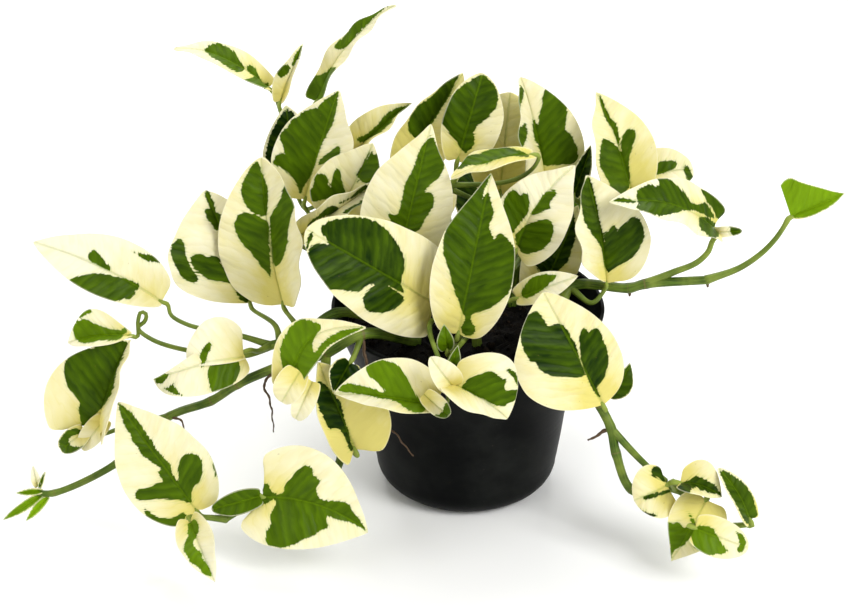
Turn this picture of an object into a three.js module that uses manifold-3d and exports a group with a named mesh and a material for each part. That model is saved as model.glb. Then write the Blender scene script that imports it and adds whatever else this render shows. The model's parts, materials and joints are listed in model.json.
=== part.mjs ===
// A potted N'Joy pothos: a dark flared plastic pot filled with potting soil, in which several cuttings
// root. Each cutting is one stem with its petioles, and each heart-shaped blade is a piece of its own.
// Millimetres, +Z up. The origin is the middle of the pot's underside; the front of the pot faces -Y.

import * as THREE from 'three';
import { mergeVertices } from 'three/addons/utils/BufferGeometryUtils.js';
import Module from 'manifold-3d';

const wasm = await Module();
wasm.setup();

// The pot
const POT_HEIGHT = 96;
const RIM_RADIUS = 65.5;
const FOOT_RADIUS = 31;
const FOOT_ROUNDING = 13.5;
const POT_WALL = 1.8;
const POT_FLOOR = 3;
const DRAIN_HOLE_COUNT = 5;
const DRAIN_HOLE_RADIUS = 3.5;
const DRAIN_RING_RADIUS = 19;
const POT_SIDES = 36;
// Radius of the outer wall at heights above the rounded foot: nearly upright, then flaring to the rim
const POT_WALL_POINTS = [[44.6, 13.5], [46.6, 27], [48.6, 42], [51.8, 58], [56.6, 72], [62, 86]];

// The soil
const SOIL_TOP = 84;
const SOIL_MOUND = 3;
const SOIL_GAP = 0.3;
const HOLE_DEPTH = 14;
const HOLE_CLEARANCE = 0.5;

// The foliage
const BLADE_THICKNESS = 0.7;
const BASE_GAP = 0.3;
const PETIOLE_RADIUS = 1.35;
const PETIOLE_TIP_RADIUS = 0.9;
const PETIOLE_SIDES = 5;
const STEM_SIDES = 8;
const STEM_STEP = 11;
const PETIOLE_STEP = 15;

// The plant is laid out as it is seen from the front: u runs right from the pot's axis and v runs up from
// the origin, on the plane through the origin that faces an eye at this height and distance. The third
// number of a place is its y, how far behind the pot's axis it lies.
const EYE_ELEVATION = THREE.MathUtils.degToRad(28);
const EYE_DISTANCE = 1100;
const EYE_AIM = { u: -21, v: 83.25 };

const towardEye = new THREE.Vector3(0, -Math.cos(EYE_ELEVATION), Math.sin(EYE_ELEVATION));
const pictureUp = new THREE.Vector3(0, Math.sin(EYE_ELEVATION), Math.cos(EYE_ELEVATION));
const pictureRight = new THREE.Vector3(1, 0, 0);

function onPicture(u, v) {
  return new THREE.Vector3().addScaledVector(pictureRight, u).addScaledVector(pictureUp, v);
}

const eye = onPicture(EYE_AIM.u, EYE_AIM.v).addScaledVector(towardEye, EYE_DISTANCE);

// The place that shows at (u, v) and lies y behind the pot's axis
function seen([u, v, y]) {
  const ray = onPicture(u, v).sub(eye);
  return eye.clone().addScaledVector(ray, (y - eye.y) / ray.y);
}

const LEAF_GREEN = new THREE.MeshStandardMaterial({ color: 0x5f8a2a, roughness: 0.42, metalness: 0 });
const STEM_GREEN = new THREE.MeshStandardMaterial({ color: 0x6f8a3c, roughness: 0.5, metalness: 0 });
const POT_PLASTIC = new THREE.MeshStandardMaterial({ color: 0x17191a, roughness: 0.5, metalness: 0 });
const SOIL_BROWN = new THREE.MeshStandardMaterial({ color: 0x1b120d, roughness: 0.95, metalness: 0 });

// Blades. Each row gives the name, the base and the tip as seen places, the widths of the left and the
// right half, and the form. roll: turn of the upper face to the blade's right; fold: angle by which the
// two halves rise from flat; arch: how far the middle of the midrib stands up; sweep: how far it bows to
// the right; curl: how far the tip turns under; twist: turn of the tip against the base; belly: where
// along the midrib the blade is widest; taper: how fast it narrows to the tip; lobe: how far the lobes reach behind the base; wave: rise and
// fall of the edge; mesh: the number of mesh steps along and across.
const LARGE = [8, 6];
const MIDDLE = [7, 4];
const SMALL = [6, 4];
const TINY = [4, 2];

function blade(name, base, tip, halves, form) {
  return { name, base, tip, halves, roll: 0, fold: 20, arch: 3, sweep: 0, curl: 0, twist: 0, belly: 0.38, taper: 0.85,
    lobe: 0.12, wave: 0, cup: 0, phase: 0, mesh: MIDDLE, ...form };
}

const LEAVES = [
  // Front of the plant, above the rim
  blade('leaf_front_upright', [-4, 69.5, -42], [12.5, 150, -17], [19, 21], { fold: 18, lobe: 0.06, mesh: LARGE }),
  blade('leaf_front_wide', [-15, 84.5, -26], [-80, 122, -38], [23, 24], { fold: 16, arch: 5, mesh: LARGE }),
  blade('leaf_middle_pale', [-34, 105.5, -8], [-17.5, 174.5, 6], [24, 22], { fold: 24, mesh: LARGE }),
  blade('leaf_center_right', [25, 111, -8], [54.5, 154, -4], [16, 19], { sweep: -4, mesh: LARGE }),
  blade('leaf_center_low', [37, 90.5, 14], [56, 134, 17], [17, 12], { roll: 15 }),
  blade('leaf_center_small', [25.5, 87.5, -20], [56, 98.5, -16], [8, 6], { fold: 30, mesh: SMALL }),
  blade('leaf_right_open', [70, 95, -2], [60.5, 149, 0], [22, 23], { roll: 25, fold: 60, belly: [0.55, 0.38],
    lobe: [0, 0.06], mesh: LARGE }),
  blade('leaf_right_front', [68.5, 34, -57], [38.5, 90.5, -46], [30, 19], { arch: 5, lobe: 0, belly: [0.5, 0.42],
    mesh: LARGE }),
  // Left of the middle
  blade('leaf_left_tall', [-91.5, 84, -8], [-102.5, 158, 8], [25, 31], { roll: -28, fold: 50, twist: 30,
    lobe: 0.02, mesh: LARGE }),
  blade('leaf_left_behind', [-108, 85, 0], [-130.5, 141.5, 12], [33, 22], { roll: 10, fold: 40, belly: [0.52, 0.38],
    lobe: 0, mesh: LARGE }),
  blade('leaf_left_inner', [-63.5, 129, 18], [-46.5, 165, 24], [21, 14], { roll: 10, fold: 40 }),
  blade('leaf_left_edge_on', [-83, 118.5, 6], [-44.5, 145, 12], [12, 14], { fold: 120 }),
  // Top of the plant
  blade('leaf_upper_left', [-80.5, 136.5, 30], [-63.5, 191.5, 38], [21, 19.5], { roll: -12, mesh: LARGE }),
  blade('leaf_upper_left_behind', [-84, 140, 44], [-90, 184, 52], [15, 16], {}),
  blade('leaf_top_far_left', [-99, 192.5, 57], [-146, 212.5, 60], [11, 10], { roll: 50, sweep: 4.5 }),
  blade('leaf_top_narrow', [-92.5, 186.5, 57], [-81.5, 214.5, 60], [8, 3], { fold: 90, mesh: SMALL }),
  blade('leaf_top_long', [-75, 185.5, 54], [-35, 234, 60], [11, 14], { roll: -55, fold: 26, sweep: -6,
    belly: 0.3 }),
  blade('leaf_top_yellow', [-58, 156.5, 42], [-27, 185, 48], [11, 14], { roll: -30, fold: 90 }),
  blade('leaf_top_olive', [-32, 154, 34], [-1.5, 200, 42], [12, 16], { roll: 10, fold: 40 }),
  blade('leaf_top_round', [-4, 157, 24], [8.5, 200, 30], [12.5, 16], { belly: 0.48, mesh: LARGE }),
  blade('leaf_top_pale', [17, 140, 40], [22, 190.5, 50], [12, 13], { belly: 0.5, mesh: SMALL }),
  blade('leaf_top_right', [40, 141.5, 26], [27, 198, 34], [23, 21], { roll: 32, fold: 64, mesh: LARGE }),
  blade('leaf_middle_edge_on', [32.5, 159, -2], [-7.5, 147, -10], [9, 9], { roll: 62, mesh: SMALL }),
  // Right of the middle
  blade('leaf_right_upright', [82.5, 141.5, 22], [65, 190.5, 30], [21, 17], { roll: 20, fold: 50, belly: [0.3, 0.38] }),
  blade('leaf_right_behind', [87, 147.5, 34], [113.5, 151.5, 36], [12, 12], { roll: -20, fold: 40, mesh: SMALL }),
  blade('leaf_right_sliver', [54, 139, 19], [62.5, 164, 24], [5, 5], { fold: 60, mesh: SMALL }),
  blade('leaf_right_arching', [124, 122, 4], [71.5, 135.5, -12], [18, 15], { roll: 40, fold: 30, arch: 9,
    belly: 0.32, lobe: 0.2 }),
  blade('leaf_right_tip', [162.5, 128, 0], [189.5, 140, 4], [16, 5], { fold: 50, belly: [0.14, 0.4],
    lobe: [0.2, 0], mesh: SMALL }),
  // Far left
  blade('leaf_far_left_top', [-152, 85.5, -22], [-216.5, 115.5, -30], [13, 17], { sweep: 3, belly: [0.5, 0.36],
    lobe: 0.06, mesh: LARGE }),
  blade('leaf_far_left_folded', [-168, 68.5, -28], [-199, 65, -36], [14, 13], { roll: 35, fold: 70, belly: 0.6,
    mesh: SMALL }),
  blade('leaf_far_left_low', [-183.5, 23, -48], [-167.5, 66.5, -36], [28, 26], { roll: -36, fold: 72, belly: 0.3,
    lobe: [0.3, 0.12], mesh: LARGE }),
  blade('leaf_left_draped', [-111.5, 60.5, -38], [-156.5, 47, -48], [15, 18], { fold: 10, arch: 8,
    belly: [0.3, 0.22], taper: [0.85, 2.2], lobe: 0.06, mesh: LARGE }),
  // Low on the left
  blade('leaf_left_rim', [-86, 40.5, -58], [-50, 72.5, -58], [12, 10], { fold: 30, sweep: -13, lobe: 0.2,
    mesh: LARGE }),
  blade('leaf_left_hanging', [-55.5, 11.5, -58], [-74, 55.5, -53], [12, 22], { roll: 10, fold: 40, lobe: 0.2 }),
  blade('leaf_low_left', [-134.5, -19, -72], [-174, 35.5, -62], [21.5, 21], { lobe: 0.08, mesh: LARGE }),
  blade('leaf_low_small', [-138, -24, -88], [-125.5, -54.5, -121], [9, 9], { fold: 40, mesh: SMALL }),
  blade('leaf_low_middle', [-102, -12, -78], [-49, -29.5, -88], [25, 24], { fold: 16, sweep: -5, belly: 0.3,
    lobe: 0.18, mesh: LARGE }),
  blade('leaf_left_tucked', [-58, 55, -52], [-66.5, 40.5, -60], [10, 8], { fold: 70, mesh: SMALL }),
  // Over the front of the rim
  blade('leaf_bud', [-9.5, 62, -50], [-11, 74.5, -48], [4, 4], { fold: 50, mesh: SMALL }),
  blade('leaf_rim_front', [-7, 44.5, -73], [20.5, 27, -80], [22, 18], { roll: -39, fold: 78, belly: [0.5, 0.4],
    taper: [0.5, 0.85], lobe: 0.2, mesh: LARGE }),
  blade('leaf_rim_left', [-14.5, 34, -71], [-66, 40, -66], [8.5, 19], { roll: 20, fold: 60, mesh: LARGE }),
  // Low on the right
  blade('leaf_right_tucked', [70, 40, -40], [82, 55, -36], [8, 7], { roll: 30, fold: 60, mesh: SMALL }),
  blade('leaf_low_right_pale', [100.5, -6, -77], [84, -13.5, -80], [13, 13], { mesh: SMALL }),
  blade('leaf_low_right_folded', [107, -5, -80], [128, -12, -86], [12, 13], { roll: -40, fold: 60, mesh: SMALL }),
  blade('leaf_low_right_front', [120, -13.5, -81.5], [102.5, -44, -94], [13, 13], { mesh: SMALL }),
  blade('leaf_low_right_wide', [123, -29.5, -102], [141.5, -36, -102], [10.5, 10], { mesh: SMALL }),
  blade('leaf_low_right_dark', [142, -23.5, -88], [126, 2.5, -80], [9, 7.5], { roll: 30, fold: 40, mesh: SMALL }),
];

// Outline and form of a blade

const CURL_START = 0.7;

// One number holds for both halves of a blade, a pair for the left and the right half
function ofSide(value, t) {
  return Array.isArray(value) ? value[t < 0 ? 0 : 1] : value;
}

// Share of the full width at s, for a half that is widest at belly; a larger taper narrows the tip
function outlineShare(belly, taper, s) {
  const basePower = belly * taper / (1 - belly);
  const widest = belly ** basePower * (1 - belly) ** taper;
  return s ** basePower * (1 - s) ** taper / widest;
}

function bladeFrame(leaf) {
  const base = seen(leaf.base);
  const tip = seen(leaf.tip);
  const along = tip.clone().sub(base);
  const length = along.length();
  along.normalize();
  const face = towardEye.clone().addScaledVector(along, -towardEye.dot(along)).normalize();
  face.applyAxisAngle(along, THREE.MathUtils.degToRad(leaf.roll));
  const right = new THREE.Vector3().crossVectors(along, face);
  return { base, along, face, right, length };
}

// The middle surface of a blade at s, from base to tip, and t, from the left edge -1 to the right edge 1
function bladePoint(leaf, frame, s, t) {
  const bow = 4 * s * (1 - s);
  const curl = Math.max(0, (s - CURL_START) / (1 - CURL_START)) ** 2;
  const twist = THREE.MathUtils.degToRad(leaf.twist * (s - 0.5));
  const face = frame.face.clone().applyAxisAngle(frame.along, twist);
  const right = frame.right.clone().applyAxisAngle(frame.along, twist);
  const half = ofSide(leaf.halves, t) * outlineShare(ofSide(leaf.belly, t), ofSide(leaf.taper, t), s);
  const side = Math.abs(t);
  const rise = THREE.MathUtils.degToRad(leaf.fold / 2);
  const phase = leaf.phase + (t > 0 ? 1.3 : 0);
  const wave = leaf.wave * side ** 2 * Math.sin(2 * Math.PI * 2.2 * s + phase);
  const lobe = ofSide(leaf.lobe, t) * frame.length * side ** 1.3 * (1 - s) ** 4;
  return frame.base.clone()
    .addScaledVector(frame.along, frame.length * s - lobe)
    .addScaledVector(frame.face, leaf.arch * bow - leaf.curl * curl)
    .addScaledVector(frame.right, leaf.sweep * bow)
    .addScaledVector(right, half * t * Math.cos(rise))
    .addScaledVector(face, half * (side * Math.sin(rise) + leaf.cup * (side ** 2 - side)) + wave);
}


// Leaves at the back, out of the photograph's sight, that grow on the two back shoots and are part of them
const BACK_LEFT_LEAVES = [
  blade('upper', [-52, 134, 44], [-70, 150, 86], [17, 19], {}),
  blade('lower', [-46, 122.5, 58], [-72, 103, 96], [18, 16], { roll: 180 }),
  blade('inner', [-18, 124, 54], [-22, 146, 98], [17, 17], { fold: 30 }),
  blade('over_rim', [-24, 122.5, 82], [-42, 93, 104], [17, 18], { roll: 180, fold: 30 }),
];
const BACK_RIGHT_LEAVES = [
  blade('upper', [38, 130, 48], [56, 144, 88], [17, 15], {}),
  blade('lower', [36, 124, 61], [58, 106, 96], [17, 16], { roll: 180 }),
  blade('inner', [10, 122, 62], [12, 158, 98], [14, 14], { fold: 30 }),
  blade('over_rim', [24, 124, 80], [30, 94, 102], [18, 17], { roll: 180, fold: 30 }),
];

// Young leaves still furled at the growing tip of the long left vine, part of that vine
const TIP_LEAVES = [
  blade('outer', [-212, -11, -58], [-231.5, -23.5, -58], [2.4, 2.4], { fold: 40, arch: 1, mesh: TINY }),
  blade('lower', [-209, -12, -58], [-220, -24, -60], [2.2, 2.2], { fold: 40, arch: 1, mesh: TINY }),
  blade('upper', [-212, -9, -58], [-225, -10, -60], [2, 2], { fold: 40, arch: 1, mesh: TINY }),
];

// Stems. Each cutting stands in a hole in the soil at its foot and runs through the places of its path,
// with the radius shrinking from the first to the second number. Petioles leave the path at one of its
// places and run through more places to the base of their blade; offshoots end free.
function at(x, y, z) {
  return new THREE.Vector3(x, y, z);
}

function through(...places) {
  return places.map(seen);
}

const STEMS = [
  { name: 'vine_right', foot: [44, -10], radii: [2.7, 1.6],
    path: through([52, 93, 5], [81.5, 92.5, 0], [89.5, 94.5, 0], [120, 96.5, 0], [133.5, 102, 0],
      [146.5, 109, 0], [154.5, 115.5, 0]),
    petioles: [
      ['leaf_right_tip', 6, through([160, 123.5, 0])],
      ['leaf_right_arching', 2, through([103.5, 101.5, 1], [115.5, 107, 2], [121, 111.5, 3], [123, 116.5, 4])],
      ['leaf_right_open', 0, through([63, 85, -4])],
    ],
    offshoots: [[1, through([82, 88.5, 0]), 1.4], [3, through([121, 93, 0]), 1.4]] },
  { name: 'vine_front_right', foot: [30, -20], radii: [2.7, 1.8],
    path: through([51, 70, -43], [62, 46.5, -48], [67, 34, -46], [72.5, 22.5, -50], [75, 10, -54],
      [83, -8.5, -62], [105, -8, -72], [118, -18, -82], [130, -27, -88]),
    petioles: [
      ['leaf_right_front', 1, through([66, 38, -54])],
      ['leaf_right_tucked', 2, []],
      ['leaf_low_right_pale', 6, []],
      ['leaf_low_right_folded', 6, []],
      ['leaf_low_right_front', 7, []],
      ['leaf_low_right_wide', 8, through([128, -29, -99])],
      ['leaf_low_right_dark', 8, through([141, -26, -88])],
    ],
    offshoots: [[3, through([61, 16.5, -50]), 0.9], [3, through([82, 12, -56], [91, 3, -64], [100, -4, -70]), 1.9]] },
  { name: 'vine_left_upper', foot: [-30, -8], radii: [2.7, 2.0],
    path: through([-65, 80, -18], [-83, 67.5, -20], [-93, 65, -20], [-98, 64, -20]),
    petioles: [
      ['leaf_far_left_top', 3, through([-112.5, 68.5, -20], [-129, 71.5, -20], [-140, 74.5, -21], [-147.5, 79, -21])],
      ['leaf_far_left_folded', 2, through([-111.5, 58.5, -24], [-137.5, 61, -26], [-156.5, 66.5, -27])],
      ['leaf_left_draped', 3, through([-104, 61, -30])],
      ['leaf_left_tall', 1, through([-85, 74, -15])],
      ['leaf_left_behind', 2, through([-95.5, 74, -10])],
    ],
    offshoots: [] },
  { name: 'vine_left_lower', foot: [-25, -22], radii: [2.8, 1.5],
    path: through([-52, 69.5, -42], [-70, 60, -44], [-92.5, 53.5, -38], [-114, 44.5, -33], [-127.5, 36, -30],
      [-149, 28, -38], [-174.5, 5, -50], [-206, -10, -58], [-214, -10, -58]),
    petioles: [
      ['leaf_far_left_low', 5, through([-168, 24, -42])],
      ['leaf_left_rim', 2, through([-90, 44, -52])],
      ['leaf_left_tucked', 0, []],
    ],
    branches: [
      { at: 1, radii: [2.4, 1.5], path: through([-70, 40, -48], [-62, 18, -50], [-66, 0, -60], [-85, -8, -68],
        [-105, -14, -76], [-120, -23, -82]),
        petioles: [
          ['leaf_left_hanging', 1, []],
          ['leaf_low_middle', 4, []],
          ['leaf_low_left', 5, []],
          ['leaf_low_small', 5, []],
        ] },
    ],
    leaves: TIP_LEAVES,
    offshoots: [[2, through([-101, 44.5, -40], [-98, 36, -42], [-96, 20.5, -44]), 0.8],
      [5, through([-142, 26, -40], [-141, 21, -41]), 0.8]] },
  { name: 'shoot_left', foot: [-30, 14], radii: [2.5, 1.8],
    path: [at(-40, 16, 112), at(-50, 22, 132), at(-58, 28, 148)],
    petioles: [
      ['leaf_left_edge_on', 0, through([-70, 108, 8])],
      ['leaf_left_inner', 0, through([-58, 118, 16])],
      ['leaf_upper_left', 1, through([-76, 128, 28])],
      ['leaf_upper_left_behind', 2, through([-80, 132, 40])],
      ['leaf_top_long', 2, through([-66, 160, 52])],
      ['leaf_top_narrow', 2, through([-70, 150, 54], [-86, 170, 60])],
      ['leaf_top_far_left', 2, through([-72, 148, 58], [-90, 174, 62])],
    ] },
  { name: 'shoot_center', foot: [-4, 16], radii: [2.5, 1.8],
    path: [at(-8, 16, 112), at(-10, 22, 132), at(-12, 26, 146)],
    petioles: [
      ['leaf_middle_pale', 0, through([-28, 98, -2])],
      ['leaf_front_wide', 0, through([-8, 88, -8])],
      ['leaf_top_yellow', 1, through([-46, 140, 38])],
      ['leaf_top_olive', 1, through([-26, 144, 32])],
      ['leaf_top_round', 2, through([-6, 146, 24])],
      ['leaf_top_pale', 2, through([8, 136, 36])],
      ['leaf_middle_edge_on', 2, through([22, 146, 10], [34, 153, 0])],
    ] },
  { name: 'shoot_right', foot: [22, 16], radii: [2.5, 1.8],
    path: [at(26, 16, 112), at(34, 20, 132), at(42, 24, 146)],
    petioles: [
      ['leaf_center_low', 0, through([34, 84, 14])],
      ['leaf_center_right', 0, through([21, 100, -2])],
      ['leaf_top_right', 1, through([38, 126, 16])],
      ['leaf_right_sliver', 2, through([48, 130, 18])],
      ['leaf_right_upright', 2, through([70, 130, 22])],
      ['leaf_right_behind', 2, through([70, 138, 30])],
    ] },
  { name: 'shoot_front', foot: [4, -26], radii: [2.4, 1.7],
    path: [at(3, -27, 98), at(1, -28, 104)],
    petioles: [
      ['leaf_front_upright', 1, through([-3, 67, -38])],
      ['leaf_center_small', 1, through([14, 84, -24])],
      ['leaf_bud', 0, through([-8, 60, -44])],
      ['leaf_rim_front', 0, through([-8, 57, -60], [-9, 52, -69])],
      ['leaf_rim_left', 1, through([-17, 76, -36], [-14, 58, -62], [-9, 46, -71])],
    ] },
  { name: 'shoot_back_left', foot: [-22, 36], radii: [2.5, 1.8],
    path: [at(-26, 38, 108), at(-30, 42, 124)], petioles: [], leaves: BACK_LEFT_LEAVES },
  { name: 'shoot_back_right', foot: [22, 36], radii: [2.5, 1.8],
    path: [at(24, 38, 106), at(28, 42, 120)], petioles: [], leaves: BACK_RIGHT_LEAVES },
];

// Building the solids

function solidOf(positions, triangles) {
  const mesh = new wasm.Mesh({
    numProp: 3, vertProperties: new Float32Array(positions), triVerts: new Uint32Array(triangles),
  });
  return new wasm.Manifold(mesh);
}

function solidOfGeometry(geometry) {
  geometry.deleteAttribute('normal');
  geometry.deleteAttribute('uv');
  const merged = mergeVertices(geometry, 1e-4);
  return solidOf(merged.attributes.position.array, merged.index.array);
}

function addPiece(group, name, solid, material) {
  const { vertProperties, triVerts } = solid.getMesh();
  const geometry = new THREE.BufferGeometry();
  geometry.setAttribute('position', new THREE.BufferAttribute(new Float32Array(vertProperties), 3));
  geometry.setIndex(new THREE.BufferAttribute(new Uint32Array(triVerts), 1));
  geometry.computeVertexNormals();
  const mesh = new THREE.Mesh(geometry, material);
  mesh.name = name;
  group.add(mesh);
}

// The rows of a blade's middle surface: the base point, full rows, and the tip point
const FIRST_ROW = 0.07;
const LAST_ROW = 0.9;

function bladeRows(leaf) {
  const frame = bladeFrame(leaf);
  const [along, across] = leaf.mesh;
  const rows = [[bladePoint(leaf, frame, 0, 0)]];
  for (let i = 0; i < along - 1; i++) {
    const s = FIRST_ROW + (LAST_ROW - FIRST_ROW) * i / (along - 2);
    const row = [];
    for (let j = 0; j <= across; j++) row.push(bladePoint(leaf, frame, s, 2 * j / across - 1));
    rows.push(row);
  }
  rows.push([bladePoint(leaf, frame, 1, 0)]);
  return rows;
}

// A blade as a closed solid: the middle surface moved half the thickness to each side, and a rim
function bladeSolid(leaf) {
  const rows = bladeRows(leaf);
  const firsts = [];
  const points = [];
  for (const row of rows) {
    firsts.push(points.length);
    points.push(...row);
  }
  const faces = [];
  for (let i = 0; i + 1 < rows.length; i++) {
    const [a, b] = [firsts[i], firsts[i + 1]];
    const steps = Math.max(rows[i].length, rows[i + 1].length) - 1;
    for (let j = 0; j < steps; j++) {
      if (rows[i].length === 1) faces.push([a, b + j + 1, b + j]);
      else if (rows[i + 1].length === 1) faces.push([a + j, a + j + 1, b]);
      else if (j < steps / 2) faces.push([a + j, a + j + 1, b + j + 1], [a + j, b + j + 1, b + j]);
      else faces.push([a + j, a + j + 1, b + j], [a + j + 1, b + j + 1, b + j]);
    }
  }
  const offsets = cornerOffsets(points, faces, BLADE_THICKNESS / 2);
  const positions = [];
  for (const sign of [1, -1]) {
    points.forEach((point, k) => positions.push(...point.clone().addScaledVector(offsets[k], sign).toArray()));
  }
  const under = points.length;
  const triangles = [];
  for (const [a, b, c] of faces) triangles.push(a, b, c, under + a, under + c, under + b);
  const full = rows.slice(1, -1);
  const left = full.map((_, i) => firsts[i + 1]);
  const right = full.map((row, i) => firsts[i + 1] + row.length - 1);
  const rim = [firsts[0], ...right, firsts.at(-1), ...left.reverse()];
  rim.forEach((from, k) => {
    const to = rim[(k + 1) % rim.length];
    triangles.push(from, under + from, under + to, from, under + to, to);
  });
  return solidOf(positions, triangles);
}

// Half-thickness offsets at each corner, longer where faces meet at an angle
function cornerOffsets(points, faces, distance) {
  const normals = faces.map(([a, b, c]) => new THREE.Vector3()
    .crossVectors(points[b].clone().sub(points[a]), points[c].clone().sub(points[a])));
  const sums = points.map(() => new THREE.Vector3());
  const least = points.map(() => 1);
  faces.forEach((face, f) => face.forEach((k) => sums[k].add(normals[f])));
  sums.forEach((sum) => sum.normalize());
  faces.forEach((face, f) => {
    const normal = normals[f].clone().normalize();
    face.forEach((k) => { least[k] = Math.min(least[k], sums[k].dot(normal)); });
  });
  return sums.map((sum, k) => sum.multiplyScalar(distance / Math.max(least[k], 0.6)));
}

// Slivers thinner than this, left where stalks join, are smoothed away
const SLIVER = 0.06;

// A round stalk along a smooth curve through the points
function stalkSolid(points, startRadius, endRadius, sides) {
  const curve = new THREE.CatmullRomCurve3(points, false, 'centripetal');
  const step = sides < STEM_SIDES ? PETIOLE_STEP : STEM_STEP;
  const steps = points.length === 2 ? 1 : Math.max(2, Math.ceil(curve.getLength() / step));
  const frames = curve.computeFrenetFrames(steps, false);
  const positions = [];
  const triangles = [];
  for (let i = 0; i <= steps; i++) {
    const centre = curve.getPointAt(i / steps);
    const radius = THREE.MathUtils.lerp(startRadius, endRadius, i / steps);
    for (let j = 0; j < sides; j++) {
      const angle = 2 * Math.PI * j / sides;
      positions.push(...centre.clone()
        .addScaledVector(frames.normals[i], radius * Math.cos(angle))
        .addScaledVector(frames.binormals[i], radius * Math.sin(angle)).toArray());
      if (i < steps) {
        const [a, b] = [i * sides + j, i * sides + (j + 1) % sides];
        triangles.push(a, b, b + sides, a, b + sides, a + sides);
      }
    }
  }
  const end = steps * sides;
  for (let j = 1; j + 1 < sides; j++) triangles.push(0, j + 1, j, end, end + j, end + j + 1);
  return solidOf(positions, triangles);
}

// The end of a petiole, a hair's breadth before the base of its blade, and a place it comes through
function petioleEnd(leaf) {
  const { base, along, face } = bladeFrame(leaf);
  const lobe = Math.max(ofSide(leaf.lobe, -1), ofSide(leaf.lobe, 1));
  const end = base.clone().addScaledVector(along, -BASE_GAP - 1.5 * lobe);
  const before = end.clone().addScaledVector(along, -3).addScaledVector(face, -1.5);
  return [before, end];
}

const leafByName = new Map(LEAVES.map((leaf) => [leaf.name, leaf]));

function growPetioles(parts, petioles, path) {
  for (const [name, from, via] of petioles) {
    const points = [path[from], ...via, ...petioleEnd(leafByName.get(name))];
    parts.push(stalkSolid(points, PETIOLE_RADIUS, PETIOLE_TIP_RADIUS, PETIOLE_SIDES));
  }
}

function stemSolid(stem) {
  const [x, y] = stem.foot;
  const surface = SOIL_TOP + SOIL_MOUND;
  const foot = [at(x, y, SOIL_TOP - HOLE_DEPTH + HOLE_CLEARANCE), at(x, y, surface + 2)];
  const parts = [
    stalkSolid(foot, stem.radii[0], stem.radii[0], STEM_SIDES),
    stalkSolid([at(x, y, surface + 0.5), ...stem.path], ...stem.radii, STEM_SIDES),
  ];
  growPetioles(parts, stem.petioles, stem.path);
  for (const [from, via, radius] of stem.offshoots ?? []) {
    parts.push(stalkSolid([stem.path[from], ...via], radius, radius * 0.6, PETIOLE_SIDES));
  }
  for (const branch of stem.branches ?? []) {
    parts.push(stalkSolid([stem.path[branch.at], ...branch.path], ...branch.radii, STEM_SIDES));
    growPetioles(parts, branch.petioles, branch.path);
  }
  for (const leaf of stem.leaves ?? []) {
    const { base, along } = bladeFrame(leaf);
    const last = stem.path.at(-1);
    const joined = base.clone().addScaledVector(along, 1.5);
    if (stem.leaves !== TIP_LEAVES) {
      const before = base.clone().addScaledVector(along, -3);
      parts.push(stalkSolid([last, before, joined], PETIOLE_RADIUS, PETIOLE_TIP_RADIUS, PETIOLE_SIDES));
    }
    parts.push(bladeSolid(leaf));
  }
  return wasm.Manifold.union(parts).simplify(SLIVER);
}

// The pot's outer profile from the rim of its underside up, then the same wall from inside
function roundedFoot(radius, low) {
  const points = [];
  for (let i = 0; i <= 3; i++) {
    const angle = Math.PI / 2 * i / 3;
    points.push([FOOT_RADIUS + radius * Math.sin(angle), low + radius * (1 - Math.cos(angle))]);
  }
  return points;
}

function potInside(gap) {
  const inset = POT_WALL + gap;
  return [
    ...roundedFoot(FOOT_ROUNDING - POT_FLOOR, POT_FLOOR + gap).map(([r, z]) => [r - gap, z]),
    ...POT_WALL_POINTS.slice(1).map(([r, z]) => [r - inset, z]),
  ];
}

function latheSolid(profile, sides) {
  const points = profile.map(([r, z]) => new THREE.Vector2(r, z));
  const geometry = new THREE.LatheGeometry(points, sides);
  geometry.rotateX(Math.PI / 2);
  return solidOfGeometry(geometry);
}

function potSolid() {
  const outside = [[0, 0], ...roundedFoot(FOOT_ROUNDING, 0), ...POT_WALL_POINTS.slice(1),
    [RIM_RADIUS, POT_HEIGHT - 1], [RIM_RADIUS - 0.4, POT_HEIGHT]];
  const rim = [[RIM_RADIUS - POT_WALL + 0.2, POT_HEIGHT], [RIM_RADIUS - POT_WALL - 0.4, POT_HEIGHT - 1]];
  const profile = [...outside, ...rim, ...potInside(0).reverse(), [0, POT_FLOOR]];
  const holes = [];
  for (let i = 0; i < DRAIN_HOLE_COUNT; i++) {
    const angle = 2 * Math.PI * i / DRAIN_HOLE_COUNT + Math.PI / 2;
    const [x, y] = [DRAIN_RING_RADIUS * Math.cos(angle), DRAIN_RING_RADIUS * Math.sin(angle)];
    holes.push(stalkSolid([at(x, y, -1), at(x, y, POT_FLOOR + 1)], DRAIN_HOLE_RADIUS, DRAIN_HOLE_RADIUS, 12));
  }
  return latheSolid(profile, POT_SIDES).subtract(wasm.Manifold.union(holes));
}

function soilSolid() {
  const wall = potInside(SOIL_GAP).filter(([, z]) => z < SOIL_TOP - 1);
  const [last, next] = [wall.at(-1), potInside(SOIL_GAP).find(([, z]) => z >= SOIL_TOP - 1)];
  const share = (SOIL_TOP - last[1]) / (next[1] - last[1]);
  const edge = THREE.MathUtils.lerp(last[0], next[0], share);
  const profile = [[0, wall[0][1]], ...wall, [edge, SOIL_TOP], [edge * 0.66, SOIL_TOP + SOIL_MOUND * 0.6],
    [edge * 0.33, SOIL_TOP + SOIL_MOUND * 0.9], [0, SOIL_TOP + SOIL_MOUND]];
  const holes = STEMS.map(({ foot: [x, y], radii }) => {
    const radius = radii[0] + HOLE_CLEARANCE;
    return stalkSolid([at(x, y, SOIL_TOP - HOLE_DEPTH), at(x, y, SOIL_TOP + 10)], radius, radius, STEM_SIDES);
  });
  return latheSolid(profile, POT_SIDES).subtract(wasm.Manifold.union(holes));
}

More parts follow.
